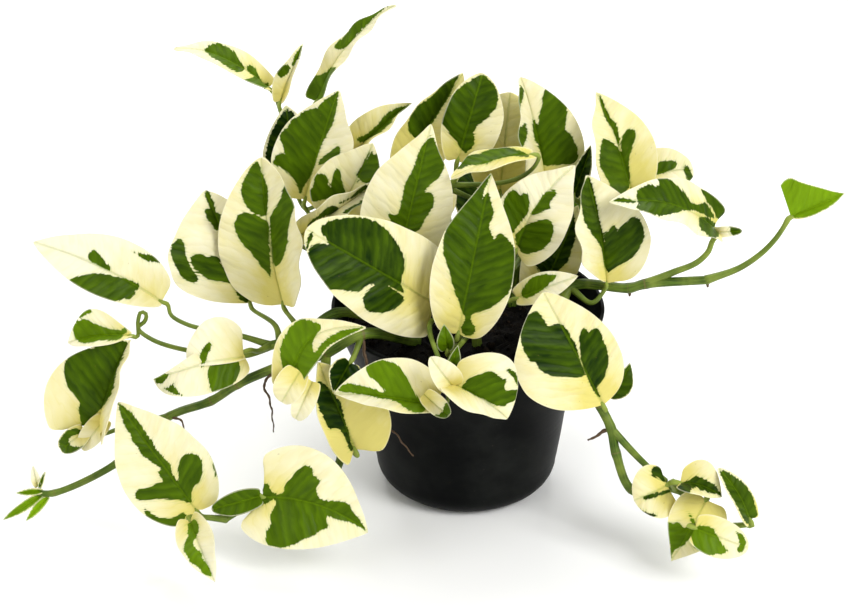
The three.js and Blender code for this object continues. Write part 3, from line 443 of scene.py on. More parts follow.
# The green patches, read off in pixels of the view
GREEN_PATCHES = read_patches("""\
lobe_hook: 730,223 742,223 744,234 736,239 730,233
lobe_curl: 85,431 74,428 65,431 59,440 60,449 67,455 77,455 86,450 87,445 79,447 72,446 68,441 71,436 78,434
85,435
lobe_arch: 199,364 200,355 204,346 210,341 212,347 208,355 205,364
lobe_rolled: 430,416 438,422 448,420 452,410 449,402 444,404 443,412 436,415
leaf_front_upright: 492,173 484,176 480,178 476,184 469,190 464,200 460,201 455,206 451,215 447,222 445,232
443,243 443,254 446,262 449,270 451,278 452,285 455,292 458,300 461,308 463,314 466,318 464,322 461,327
462,332 466,335 471,336 475,333 476,328 473,323 470,318 472,314 480,312 488,310 495,305 502,300 508,295
511,288 514,281 518,272 520,263 518,254 514,246 509,240 505,236 501,233 497,235 494,240 491,232 489,230
490,222 493,217 494,210 491,203 491,198 488,192 484,196 482,200 484,190 488,182
leaf_front_wide: 328,245 327,238 321,233 321,227 329,221 341,218 355,217 368,218 380,224 391,234 399,246
404,257 405,268 402,277 401,285 405,293 396,290 386,285 376,285 372,283 366,285 358,292 350,291 340,290
324,289 317,284 312,277 309,269 305,257 309,248 315,244 322,243; 361,299 365,293 372,287 381,284 391,287
400,294 406,298 400,305 393,311 382,313 371,313 366,310; 304,255 306,245 308,236 312,231 313,236 310,243
306,252
leaf_middle_pale: 425,143 430,136 434,138 438,147 444,155 445,165 440,176 433,183 428,187 424,192 432,192
434,199 433,208 428,215 424,222 420,230 412,233 405,232 399,227 390,221 388,212 392,214 397,214 400,208
402,196 405,184 410,174 414,166 418,154 421,146
leaf_center_right: 503,205 505,198 508,193 511,190 515,189 518,192 520,195 524,192 527,192 529,196 530,204
528,212 525,217 521,222 516,228 513,234 510,228 507,221 504,213; 530,213 535,207 540,200 543,194 548,191
555,190 557,193 553,198 549,203 551,208 546,211 540,212 533,215; 514,236 520,230 526,225 533,221 541,219
549,219 554,224 554,232 551,240 545,248 538,252 530,254 522,253 517,246
leaf_center_low: 572,207 575,222 576,235 572,250 570,258 563,266 556,272 549,276 542,274 537,268 533,263
536,258 545,253 553,246 560,237 566,226 569,215
leaf_center_small: 521,294 525,284 533,277 545,274 558,274 551,283 541,291 532,297 524,299
leaf_right_open: 588,176 591,180 594,192 597,205 599,218 602,229 605,240 606,255 607,270 605,268 603,255
600,245 595,238 589,230 584,221 581,211 579,200 580,190 583,182; 604,232 608,231 611,226 614,224 617,227
617,233 620,227 624,223 628,221 631,217 635,217 640,220 644,228 644,236 641,246 636,255 629,261 621,265
613,269 607,273 605,260 604,246
leaf_right_front: 523,322 526,317 531,313 536,312 540,315 544,321 549,327 553,325 558,323 563,325 568,330
571,338 575,341 577,348 579,357 582,366 586,374 580,377 570,377 560,377 551,376 544,373 539,368 535,361
532,363 527,357 523,350 520,342 520,331; 579,341 580,332 583,328 587,330 589,333 592,329 598,328 601,333
603,340 607,348 609,357 608,366 605,374 600,382 597,387 598,392 601,398 597,396 592,388 588,380 584,370
581,360 580,350
leaf_left_tall: 258,161 254,163 250,168 247,174 243,181 241,189 241,195 244,202 248,208 253,212 259,214
265,216 268,214 269,207 269,198 268,189 266,182 263,176 261,169; 268,221 262,219 255,215 249,213 243,212
238,215 235,220 234,226 236,233 240,241 245,247 251,253 257,260 263,267 268,273 271,278 271,270 270,260
270,250 269,240 269,230; 270,218 274,211 279,204 282,196 284,188 287,180 288,175 292,177 296,183 297,190
297,200 294,208 292,216 290,226 289,236 287,246 284,254 281,261 277,266 273,264 272,256 271,246 270,232
leaf_left_behind: 180,237 185,247 185,253 188,260 190,266 194,272 199,280 195,284 188,281 181,277 177,270
173,262 171,254 171,247 174,241; 190,258 194,255 200,254 205,255 207,259 210,256 215,256 220,258 222,265
225,270 229,275 233,281 234,284 226,283 216,281 208,279 202,276 197,271 193,266; 206,188 208,189 211,196
214,203 216,211 219,214 223,212 221,219 219,226 217,232 214,228 210,222 205,216 204,210 207,209 210,210
208,203 205,195; 235,284 237,290 242,292 248,297 252,301 246,303 240,300 236,294
leaf_left_inner: 372,148 375,159 385,163 384,179 372,185 361,181 356,174 363,163 370,155; 308,201 308,193
313,188 314,180 315,174 320,172 325,174 328,180 328,188 330,188 331,180 334,172 337,168 341,171 341,180
344,188 346,192 340,195 330,198 320,201 312,203; 360,181 364,176 369,170 372,161 375,154 378,152 382,157
385,164 386,172 383,178 379,182 371,182; 357,183 358,176 361,168 364,160 369,152 371,150 367,160 363,170
359,180
leaf_left_edge_on: 338,203 345,198 352,194 360,188 369,185 371,187 362,192 352,197 343,202; 306,228 310,221
317,215 325,209 333,205 338,207 336,212 328,216 318,219 311,224; 343,215 352,208 360,201 367,195 371,191
367,199 361,207 359,212 350,215
leaf_upper_left: 339,90 331,96 322,102 318,108 310,109 302,112 297,118 292,118 288,128 281,131 279,138
282,145 286,155 281,152 276,155 273,162 280,166 288,172 294,178 299,188 300,194 305,185 311,176 315,166
318,155 321,145 327,135 332,127 336,115 338,100; 318,166 321,158 326,154 332,150 337,145 341,150 340,157
333,159 325,163
leaf_top_far_left: 203,50 211,45 219,42 228,47 235,53 239,61 245,67 244,71 236,71 226,67 216,61 208,55;
246,67 251,64 256,69 259,77 263,84 268,83 268,89 261,90 252,85 243,80 246,78 254,77 249,73
leaf_top_narrow: 277,67 286,63 291,69 283,79 277,76; 294,54 303,44 302,55 291,68
leaf_top_long: 398,2 377,3 359,16 345,33 335,47 339,51 348,46 356,35 370,22 385,9; 303,84 315,75 326,73
331,67 338,69 335,82 328,97 317,103 304,99
leaf_top_yellow: 356,138 362,136 371,131 380,121 387,113 396,108 412,104 404,112 394,119 384,128 374,138
366,143 358,141
leaf_top_olive: 461,72 450,78 440,87 431,96 424,101 414,110 408,118 407,128 413,138 420,140 428,130 436,118
443,106 450,95 455,84
leaf_top_round: 441,122 443,110 448,101 455,92 463,85 472,79 482,74 489,79 495,86 499,96 497,106 491,115
484,121 477,126 473,132 475,138 474,146 470,150 466,153 460,148 455,140 449,133
leaf_top_right: 545,89 549,88 555,89 560,94 564,100 567,107 567,117 565,126 567,132 573,136 574,143 578,147
578,157 575,164 560,164 543,166 541,156 538,147 534,138 532,128 532,119 535,120 539,127 538,118 541,110
543,98; 519,85 522,88 523,95 521,103 520,110 516,110 516,100 518,92; 524,123 527,130 528,138 525,144 521,150
518,155 516,150 517,138 519,128
leaf_middle_edge_on: 456,166 464,158 480,154 492,147 505,146 520,152 532,157 520,158 505,157 494,160 484,164
470,165 458,170; 466,176 478,172 492,172 500,176 488,184 470,183
leaf_right_upright: 600,138 606,140 612,144 618,149 622,152 620,146 622,138 626,131 630,129 636,130 635,138
632,146 630,155 629,165 630,175 630,184 627,190 621,194 617,195 612,191 608,183 603,173 600,164 599,153;
599,92 602,100 606,108 610,117 613,122 615,120 617,127 619,133 620,143 618,147 615,137 612,128 607,123
603,113 600,101
leaf_right_behind: 637,182 647,169 659,162 672,160 678,163 674,169 664,173 652,175 642,180; 685,163 691,172
694,182 689,185 685,177 683,169
leaf_right_arching: 724,224 736,224 744,232 736,240 726,236; 638,189 643,187 648,184 653,186 657,189 658,183
656,178 660,175 666,175 671,180 676,184 682,189 686,194 690,201 694,205 700,204 705,202 708,206 712,212
716,219 710,218 702,214 694,210 686,210 678,212 668,215 658,216 648,214 640,211 636,207 640,204 636,198;
700,189 706,189 713,191 720,196 725,203 729,212 731,221 729,226 723,224 718,220 712,209 707,201 704,195;
698,217 704,217 711,220 717,225 719,232 716,239 710,240 706,233 700,227; 612,201 618,198 625,198 633,200
639,202 630,203 620,202
leaf_far_left_top: 62,281 70,280 80,276 90,273 102,274 114,276 124,278 133,281 140,285 138,290 134,291
136,294 132,296 131,299 124,299 118,301 106,300 94,297 82,293 72,290 65,286; 88,257 90,253 93,250 98,252
101,257 105,262 109,265 111,269 110,271 103,268 96,264 90,261; 131,250 138,252 146,254 153,255 159,259
165,262 168,265 162,263 154,262 146,260 140,257 135,253
leaf_far_left_folded: 73,334 74,325 79,320 87,319 94,323 102,327 112,329 122,330 128,325 130,326 125,333
120,339 108,340 96,342 90,345 82,344 76,340; 70,332 71,323 75,315 81,310 88,308 93,311 84,316 78,318 74,323
72,329
leaf_far_left_low: 64,365 68,357 75,351 83,347 89,347 92,350 97,345 105,342 115,341 124,341 128,343 125,352
120,365 116,378 112,388 110,395 107,404 100,410 95,415 90,421 86,425 85,430 82,425 80,418 79,408 80,402
75,395 68,388 65,378; 61,442 63,436 68,431 72,431 71,436 73,442 79,447 86,446 82,451 75,453 68,451 63,448
leaf_left_draped: 207,372 210,366 216,362 222,359 226,361 230,358 236,359 241,364 240,372 236,380 231,387
226,392 221,396 215,396 211,391 209,382; 216,345 211,349 207,355 202,362 200,369 204,366 209,359 213,352;
154,379 157,375 163,373 170,374 167,379 161,384 156,384; 163,388 168,388 173,384 176,381 175,386 179,392
184,396 176,394 169,391
leaf_left_rim: 295,323 300,319 306,319 313,321 320,323 322,327 318,332 314,340 313,348 314,353 318,350
322,344 329,337 338,332 347,329 358,328 364,327 356,332 346,337 336,342 328,347 323,353 321,362 317,371
313,379 309,384 305,380 301,384 298,390 295,386 291,380 285,373 281,364 280,355 281,345 285,335 290,327
leaf_left_hanging: 314,391 316,383 319,380 324,383 329,388 334,395 339,400 342,404 343,412 345,421 349,432
351,441 354,448 352,452 348,448 345,438 340,430 334,427 329,429 325,421 320,410 316,400
leaf_low_left: 143,506 150,512 160,518 172,519 182,511 187,515 178,525 166,529 154,525 145,516; 117,402
122,405 130,411 139,422 145,431 152,440 157,449 164,458 170,464 172,473 178,482 178,466 180,459 185,454
193,453 200,456 203,465 203,473 200,482 194,487 191,493 192,504 181,500 170,500 160,499 148,501 139,501
135,496 138,490 145,489 152,486 157,483 164,481 160,477 158,472 162,470 157,467 153,463 148,459 142,455
137,447 132,441 131,435 127,429 123,422 120,413; 207,448 213,454 216,462 218,472 216,478 214,470 212,460;
150,520 158,526 168,530 176,526 182,522 175,530 165,533 155,528
leaf_low_small: 187,524 197,519 201,527 197,537 193,541 194,548 202,552 203,560 209,566 213,578 203,574
199,567 191,564 187,557 183,549 186,540 188,536
leaf_low_middle: 250,488 262,489 268,496 262,506 250,502 246,494; 268,495 277,495 284,492 284,485 292,477
296,471 307,464 314,470 312,475 321,479 317,488 317,493 321,500 337,501 350,504 352,511 360,519 367,531
359,527 350,522 340,521 328,515 326,520 329,527 320,531 314,536 304,539 295,545 280,548 269,546 265,542
266,533 271,524 269,516 273,509 277,501 272,498; 263,484 268,482 272,492 280,495 262,506 247,510 245,507
251,500 263,495
leaf_rim_front: 460,389 464,384 468,379 474,375 482,374 489,371 495,373 501,378 508,379 504,385 505,391
512,389 519,390 518,396 514,401 508,403 505,406 498,406 491,404 484,399 476,397 470,394; 506,371 510,374
514,380 518,386 521,386 520,378 514,371 508,368
leaf_rim_left: 430,398 440,396 448,404 446,416 436,419 428,412; 366,368 369,364 375,361 383,360 391,361
399,366 404,373 408,379 412,387 416,394 420,400 426,408 424,412 416,413 407,409 399,404 391,400 382,396
385,390 378,383 370,376; 338,391 341,386 347,383 355,384 365,386 376,389 384,394 389,399 380,399 368,396
354,393 345,392
leaf_low_right_pale: 651,468 660,464 670,463 670,480 664,483 658,478 651,476; 643,496 650,494 658,492
670,489 671,492 660,496 650,499 644,500; 638,507 645,512 652,513 658,516 648,519 640,514
leaf_low_right_folded: 673,499 676,489 680,484 686,481 692,478 697,476 703,478 710,482 716,486 720,493
724,497 718,495 710,493 703,491 700,493 697,488 692,490 688,495 682,495
leaf_low_right_front: 665,523 668,522 674,524 679,522 684,528 688,526 692,530 692,524 688,511 693,518
697,525 704,525 710,528 714,533 716,540 722,545 728,552 720,554 712,554 703,553 695,549 690,543 691,538
687,541 684,546 678,547 673,551 671,560 668,552 671,545 666,538 665,530
leaf_low_right_wide: 690,531 701,525 710,526 716,533 721,543 729,553 701,556 693,546; 735,531 742,534
746,541 744,549 738,553 736,549 740,544 738,537""")


# Stems

PETIOLE_RADII = (1.35, 0.9)
THICKEST_ROOT = 1.0
# How a petiole meets its blade: the gap before the base, wider for a deep lobe, and its end in the midrib
BASE_GAP = 0.3
LOBE_GAP = 1.5
MIDRIB_REACH = 1.6
MIDRIB_DEPTH = 0.5
SAG = 0.5


@dataclass(frozen=True)
class Petiole:
    """The stalk of one blade: it leaves the stem at a place of its path and runs through more places.

    Its last stretch, bend millimetres long, lies in the blade's own direction.
    """

    leaf: str
    start: int
    via: tuple[Place, ...] = ()
    radii: Pair = PETIOLE_RADII
    bend: float = 3.0

    def points(self, path: Sequence[Array]) -> list[Array]:
        """Gives the places that it runs through, up to where it becomes the midrib.

        Args:
            path: The places of the stem that it grows from.

        Returns:
            The places.
        """
        blade = next(leaf for leaf in LEAVES if leaf.name == self.leaf)
        base, along, face, _, _ = blade.frame()
        lobe = max(blade.lobe) if isinstance(blade.lobe, tuple) else blade.lobe
        end = base - along * (BASE_GAP + LOBE_GAP * lobe)
        before = end - along * self.bend - face * SAG * self.bend
        last = base + along * MIDRIB_REACH - face * MIDRIB_DEPTH
        return [path[self.start], *map(VIEW.seen, self.via), before, end, last]


@dataclass(frozen=True)
class Offshoot:
    """A stub or root that ends free."""

    start: int
    via: tuple[Place, ...]
    radius: float

    @property
    def kind(self) -> StalkKind:
        """Thin offshoots and short stubs are roots, the others are green."""
        return StalkKind.ROOT if self.radius < THICKEST_ROOT or len(self.via) == 1 else StalkKind.STEM


@dataclass(frozen=True)
class Stem:
    """One cutting's stem, with its petioles, offshoots and branch, and small blades that are part of it."""

    name: str
    foot: Pair
    radii: Pair
    path: tuple[Place, ...]
    petioles: tuple[Petiole, ...] = ()
    offshoots: tuple[Offshoot, ...] = ()
    branch: tuple[int, Pair, tuple[Place, ...], tuple[Petiole, ...]] | None = None
    blades: tuple[Blade, ...] = ()
    upright: bool = False

    def places(self) -> list[Array]:
        """The path's points, in millimetres; an upright shoot gives them directly."""
        return [np.array(place, float) if self.upright else VIEW.seen(place) for place in self.path]


STEMS = (
    Stem("vine_right", (44, -10), (2.7, 2.1),
         ((52, 93, 5), (81.5, 92.5, 0), (89.5, 94.5, 0), (120, 96.5, 0)),
         (Petiole("leaf_right_tip", 3,
                  ((136.5, 102.4, 0), (147.6, 109.8, 0), (154.5, 116.8, 0), (158.6, 122.6, 0)),
                  (1.6, 1.15), 0.6),
          Petiole("leaf_right_arching", 2,
                  ((104, 100.5, 1), (115, 105, 2), (121, 110.5, 3), (123.2, 116, 4)), (1.7, 1.2)),
          Petiole("leaf_right_open", 0, ((63, 85, -4),))),
         (Offshoot(1, ((82, 88.5, 0),), 1.4), Offshoot(3, ((121, 93, 0),), 1.4))),
    Stem("vine_front_right", (30, -20), (2.7, 1.8),
         ((51, 70, -43), (62, 46.5, -48), (67, 34, -46), (72.5, 22.5, -50), (75, 10, -54), (83, -8.5, -62),
          (105, -8, -72), (118, -18, -82), (130, -27, -88)),
         (Petiole("leaf_right_front", 1, ((66, 38, -54),)), Petiole("leaf_right_tucked", 2),
          Petiole("leaf_low_right_pale", 6), Petiole("leaf_low_right_folded", 6),
          Petiole("leaf_low_right_front", 7),
          Petiole("leaf_low_right_wide", 8, ((128, -29, -99),)),
          Petiole("leaf_low_right_dark", 8, ((141, -26, -88),))),
         (Offshoot(3, ((61, 16.5, -50),), 1.15),
          Offshoot(3, ((82, 12, -56), (91, 3, -64), (100, -4, -70)), 1.9))),
    Stem("vine_left_upper", (-30, -8), (2.7, 2.0),
         ((-65, 80, -18), (-83, 67.5, -20), (-93, 65, -20), (-98, 64, -20)),
         (Petiole("leaf_far_left_top", 3,
                  ((-112.5, 68.5, -20), (-129, 71.5, -20), (-140, 74.5, -21), (-147.5, 79, -21))),
          Petiole("leaf_far_left_folded", 2,
                  ((-111.5, 58.5, -24), (-137.5, 61, -26), (-156.5, 66.5, -27), (-164, 72.5, -27),
                   (-160.5, 76, -27), (-160, 79.5, -27), (-162.5, 80.5, -27), (-164, 76, -28))),
          Petiole("leaf_left_draped", 3, ((-104, 61, -30),)),
          Petiole("leaf_left_tall", 1, ((-85, 74, -15),)),
          Petiole("leaf_left_behind", 2, ((-95.5, 74, -10),)))),
    Stem("vine_left_lower", (-25, -22), (2.8, 1.5),
         ((-52, 69.5, -42), (-70, 60, -44), (-92.5, 53.5, -38), (-114, 44.5, -33), (-127.5, 36, -30),
          (-149, 28, -38), (-174.5, 5, -50), (-206, -10, -58), (-214, -10, -58)),
         (Petiole("leaf_far_left_low", 5, ((-168, 24, -42),)),
          Petiole("leaf_left_rim", 2, ((-90, 44, -52),)),
          Petiole("leaf_left_tucked", 0)),
         (Offshoot(2, ((-101, 44.5, -40), (-98, 36, -42), (-96, 20.5, -44)), 0.8),
          Offshoot(0, ((-50, 56, -47), (-46, 42, -49), (-39, 24, -50), (-33, 17, -51), (-26.5, 8.5, -52)),
                   0.9),
          Offshoot(5, ((-142, 26, -40), (-141, 21, -41)), 0.8)),
         (1, (2.4, 1.5), ((-70, 40, -48), (-62, 18, -50), (-66, 0, -60), (-85, -8, -68), (-105, -14, -76),
                          (-120, -23, -82)),
          (Petiole("leaf_left_hanging", 1), Petiole("leaf_low_middle", 4), Petiole("leaf_low_left", 5),
           Petiole("leaf_low_small", 5))),
         TIP_LEAVES),
    Stem("shoot_left", (-30, 14), (2.5, 1.8), ((-40, 16, 112), (-50, 22, 132), (-58, 28, 148)),
         (Petiole("leaf_left_edge_on", 0, ((-70, 108, 8),)),
          Petiole("leaf_left_inner", 0, ((-58, 118, 16),)),
          Petiole("leaf_upper_left", 1, ((-76, 128, 28),)),
          Petiole("leaf_upper_left_behind", 2, ((-80, 132, 40),)),
          Petiole("leaf_top_long", 2, ((-66, 160, 52),)),
          Petiole("leaf_top_narrow", 2, ((-70, 150, 54), (-86, 170, 60))),
          Petiole("leaf_top_far_left", 2, ((-72, 148, 58), (-90, 174, 62)))), upright=True),
    Stem("shoot_center", (-4, 16), (2.5, 1.8), ((-8, 16, 112), (-10, 22, 132), (-12, 26, 146)),
         (Petiole("leaf_middle_pale", 0, ((-28, 98, -2),)), Petiole("leaf_front_wide", 0, ((-8, 88, -8),)),
          Petiole("leaf_top_yellow", 1, ((-46, 140, 38),)), Petiole("leaf_top_olive", 1, ((-26, 144, 32),)),
          Petiole("leaf_top_round", 2, ((-6, 146, 24),)), Petiole("leaf_top_pale", 2, ((8, 136, 36),)),
          Petiole("leaf_middle_edge_on", 2, ((22, 146, 10), (34, 153, 0)))), upright=True),
    Stem("shoot_right", (22, 16), (2.5, 1.8), ((26, 16, 112), (34, 20, 132), (42, 24, 146)),
         (Petiole("leaf_center_low", 0, ((34, 84, 14),)), Petiole("leaf_center_right", 0, ((21, 100, -2),)),
          Petiole("leaf_top_right", 1, ((38, 126, 16),)), Petiole("leaf_right_sliver", 2, ((48, 130, 18),)),
          Petiole("leaf_right_upright", 2, ((70, 130, 22),)),
          Petiole("leaf_right_behind", 2, ((70, 138, 30),))),
         upright=True),
    Stem("shoot_front", (4, -26), (2.4, 1.7), ((3, -27, 98), (1, -28, 104)),
         (Petiole("leaf_front_upright", 1, ((-3, 67, -38),)),
          Petiole("leaf_center_small", 1, ((14, 84, -24),)),
          Petiole("leaf_bud", 0, ((-8, 60, -44),)),
          Petiole("leaf_rim_front", 0, ((-8, 57, -60), (-9, 52, -69))),
          Petiole("leaf_rim_left", 1, ((-17, 76, -36), (-14, 58, -62), (-9, 46, -71)))), upright=True),
    Stem("shoot_back_left", (-22, 36), (2.5, 1.8), ((-26, 38, 108), (-30, 42, 124)),
         blades=BACK_LEFT_LEAVES, upright=True),
    Stem("shoot_back_right", (22, 36), (2.5, 1.8), ((24, 38, 106), (28, 42, 120)), blades=BACK_RIGHT_LEAVES,
         upright=True),
)


# Meshes


def placed(name: str, data: Any) -> bpy.types.Object:
    """Puts a new object in the scene.

    Args:
        name: Its name.
        data: Its mesh, light or camera.

    Returns:
        The object.
    """
    thing = bpy.data.objects.new(name, data)
    bpy.context.collection.objects.link(thing)
    return thing


def corner_angles(sides: int) -> Array:
    """Gives the angle of each corner of a ring, in radians."""
    return 2 * math.pi * np.arange(sides) / sides


class PieceMesh:
    """Gathers parts, each with its points, faces and the values that its material reads, into one piece."""

    def __init__(self, name: str) -> None:
        """Starts an empty piece.

        Args:
            name: Its name.
        """
        self.name = name
        self.points: list[Array] = []
        self.faces: Faces = []
        self.values: dict[str, list[Array]] = {}
        self.count = 0

    def add(self, points: Array, faces: Iterable[Sequence[int]], **values: Array) -> None:
        """Adds a part.

        Args:
            points: Its points, in millimetres.
            faces: Its faces, as numbers of its own points.
            **values: Three numbers for each point, by the name of the value.
        """
        self.points.append(points)
        self.faces.extend(tuple(int(k) + self.count for k in face) for face in faces)
        for name, value in values.items():
            self.values.setdefault(name, []).append(value)
        self.count += len(points)

    def bare_mesh(self) -> bpy.types.Mesh:
        """Makes a mesh of all parts, in metres.

        Returns:
            The mesh, without values or material.
        """
        mesh = bpy.data.meshes.new(self.name)
        mesh.from_pydata((np.concatenate(self.points) * METRE).tolist(), [], self.faces)
        return mesh

    def build(self, material: bpy.types.Material, slot: Slot, *nodes: str,
              sharp: float = 50.0) -> bpy.types.Object:
        """Makes the piece and hangs it on the part.

        Args:
            material: Its finish.
            slot: The record's slot for that finish; not used.
            *nodes: The solids that it stands for.
            sharp: Angle between faces from which an edge is sharp, in degrees.

        Returns:
            The piece.
        """
        mesh = self.bare_mesh()
        for name, parts in self.values.items():
            layer = mesh.attributes.new(name, "FLOAT_VECTOR", "POINT")
            layer.data.foreach_set("vector", np.concatenate(parts).astype(np.float32).ravel())
        mesh.polygons.foreach_set("use_smooth", [True] * len(mesh.polygons))
        mesh.set_sharp_from_angle(angle=math.radians(sharp))
        mesh.materials.append(material)
        piece = placed(self.name, mesh)
        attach(piece, "root")
        if nodes:
            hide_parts(*nodes)
        LOG.info("%s: %d points, %d faces", self.name, len(mesh.vertices), len(mesh.polygons))
        return piece


def shell_faces(rows: int, columns: int) -> Faces:
    """Gives the faces of an upper and a lower grid of points, and of the rim that joins them.

    Args:
        rows: Number of rows of a grid.
        columns: Number of points in a row.

    Returns:
        The faces.
    """
    count = rows * columns
    corners = [i * columns + j for i in range(rows - 1) for j in range(columns - 1)]
    upper = [(a, a + 1, a + columns + 1, a + columns) for a in corners]
    lower = [tuple(count + k for k in face[::-1]) for face in upper]
    rim = [*range(columns), *range(2 * columns - 1, count, columns),
           *range(count - 2, count - columns - 1, -1), *range(count - 2 * columns, 0, -columns)]
    return upper + lower + [(b, a, a + count, b + count) for a, b in zip(rim, rim[1:] + rim[:1])]


def ring_faces(rows: int, sides: int, inward: bool = False) -> Faces:
    """Gives the faces between rings of points.

    Args:
        rows: Number of rings.
        sides: Number of points in a ring.
        inward: Whether the rings run inwards and down instead of up.

    Returns:
        The faces.
    """
    faces: Faces = []
    for i in range(rows - 1):
        for j in range(sides):
            a, b = i * sides + j, i * sides + (j + 1) % sides
            faces.append((a, a + sides, b + sides, b) if inward else (a, b, b + sides, a + sides))
    return faces


def capped_rings(rows: int, sides: int) -> Faces:
    """Gives the faces of rings of points that are closed by a flat face at both ends."""
    last = tuple(range((rows - 1) * sides, rows * sides))
    return [*ring_faces(rows, sides), tuple(range(sides))[::-1], last]


def pointed_rings(rows: int, sides: int, inward: bool = False) -> Faces:
    """Gives the faces of rings that are closed by fans around two more points, which follow theirs.

    Args:
        rows: Number of rings.
        sides: Number of points in a ring.
        inward: Whether the rings run inwards and down instead of up.

    Returns:
        The faces.
    """
    faces = ring_faces(rows, sides, inward)
    first, last_ring = rows * sides, (rows - 1) * sides
    for j in range(sides):
        a, b = (j, (j + 1) % sides) if inward else ((j + 1) % sides, j)
        faces += [(first, a, b), (first + 1, last_ring + b, last_ring + a)]
    return faces


KNOT_STEPS = 16
SHORTEST = 1e-3


def smooth_curve(points: Sequence[Array], step: float) -> tuple[Array, Array]:
    """Lays a centripetal Catmull-Rom curve through points, evenly spaced along it.

    Args:
        points: The points.
        step: Distance between two samples.

    Returns:
        The samples, and the distance of each given point along the curve.
    """
    ends = [2 * points[0] - points[1], *points, 2 * points[-1] - points[-2]]
    samples, knots = [points[0]], [0.0]
    travelled = 0.0
    for p0, p1, p2, p3 in zip(ends, ends[1:], ends[2:], ends[3:]):
        spans = (p1 - p0, p2 - p1, p3 - p2)
        d0, d1, d2 = (max(float(np.linalg.norm(span)) ** 0.5, SHORTEST) for span in spans)
        t1 = ((p1 - p0) / d0 - (p2 - p0) / (d0 + d1) + (p2 - p1) / d1) * d1
        t2 = ((p2 - p1) / d1 - (p3 - p1) / (d1 + d2) + (p3 - p2) / d2) * d1
        for x in np.linspace(0, 1, KNOT_STEPS + 1)[1:]:
            point = (p1 + t1 * x + (3 * (p2 - p1) - 2 * t1 - t2) * x ** 2
                     + (2 * (p1 - p2) + t1 + t2) * x ** 3)
            travelled += float(np.linalg.norm(point - samples[-1]))
            samples.append(point)
        knots.append(travelled)
    dense = np.array(samples)
    lengths = np.concatenate([[0], np.cumsum(np.linalg.norm(np.diff(dense, axis=0), axis=1))])
    even = np.linspace(0, lengths[-1], max(3, int(lengths[-1] / step) + 1))
    return np.stack([np.interp(even, lengths, dense[:, k]) for k in range(3)], axis=1), np.array(knots)


# The domed ends of a tube, as shares of its radius
DOME_HEIGHT = 0.5
DOME_RADIUS = 0.55


def with_ends(rows: Array, share: float = 1.0) -> Array:
    """Repeats the first and the last row, times a number."""
    return np.concatenate([rows[:1] * share, rows, rows[-1:] * share])


def add_tube(piece: PieceMesh, line: Array, radius: Array, sides: int, **values: Array) -> None:
    """Adds a round tube with domed ends along a line.

    Args:
        piece: The piece that it is added to.
        line: The points of its axis.
        radius: Its radius at each of them.
        sides: Number of sides.
        **values: Three numbers for each point of the axis, by name.
    """
    tangent = np.gradient(line, axis=0)
    tangent /= np.linalg.norm(tangent, axis=1)[:, None]
    side = np.cross(tangent[0], [0.3, 0.2, 1.0])
    sides_at = []
    for direction in tangent:
        side = side - direction * (side @ direction)
        side = side / np.linalg.norm(side)
        sides_at.append(side)
    normal = np.array(sides_at)
    binormal = with_ends(np.cross(tangent, normal))
    normal = with_ends(normal)
    line = np.concatenate([line[:1] - tangent[:1] * radius[0] * DOME_HEIGHT, line,
                           line[-1:] + tangent[-1:] * radius[-1] * DOME_HEIGHT])
    radius = with_ends(radius, DOME_RADIUS)
    angle = corner_angles(sides)
    ring = normal[:, None] * np.cos(angle)[None, :, None] + binormal[:, None] * np.sin(angle)[None, :, None]
    points = (line[:, None] + ring * radius[:, None, None]).reshape(-1, 3)
    spread = {name: np.repeat(with_ends(value), sides, axis=0) for name, value in values.items()}
    spread["stalk_place"][:, 1] = np.tile(angle, len(line))
    piece.add(points, capped_rings(len(line), sides), **spread)


def add_turned(piece: PieceMesh, profile: Array, sides: int) -> None:
    """Adds a turned shape to a piece.

    Args:
        piece: The piece.
        profile: Radius and height of each point of the outline, from the axis round to the axis.
        sides: Number of sides.
    """
    angle = corner_angles(sides)
    ring = np.stack([np.cos(angle), np.sin(angle)], axis=1)
    inner = profile[1:-1]
    heights = np.repeat(inner[:, None, 1:], sides, axis=1)
    points = np.concatenate([inner[:, None, :1] * ring[None], heights], axis=2)
    ends = [[0, 0, profile[0][1]], [0, 0, profile[-1][1]]]
    piece.add(np.concatenate([points.reshape(-1, 3), ends]), pointed_rings(len(inner), sides))


# Wiring of materials


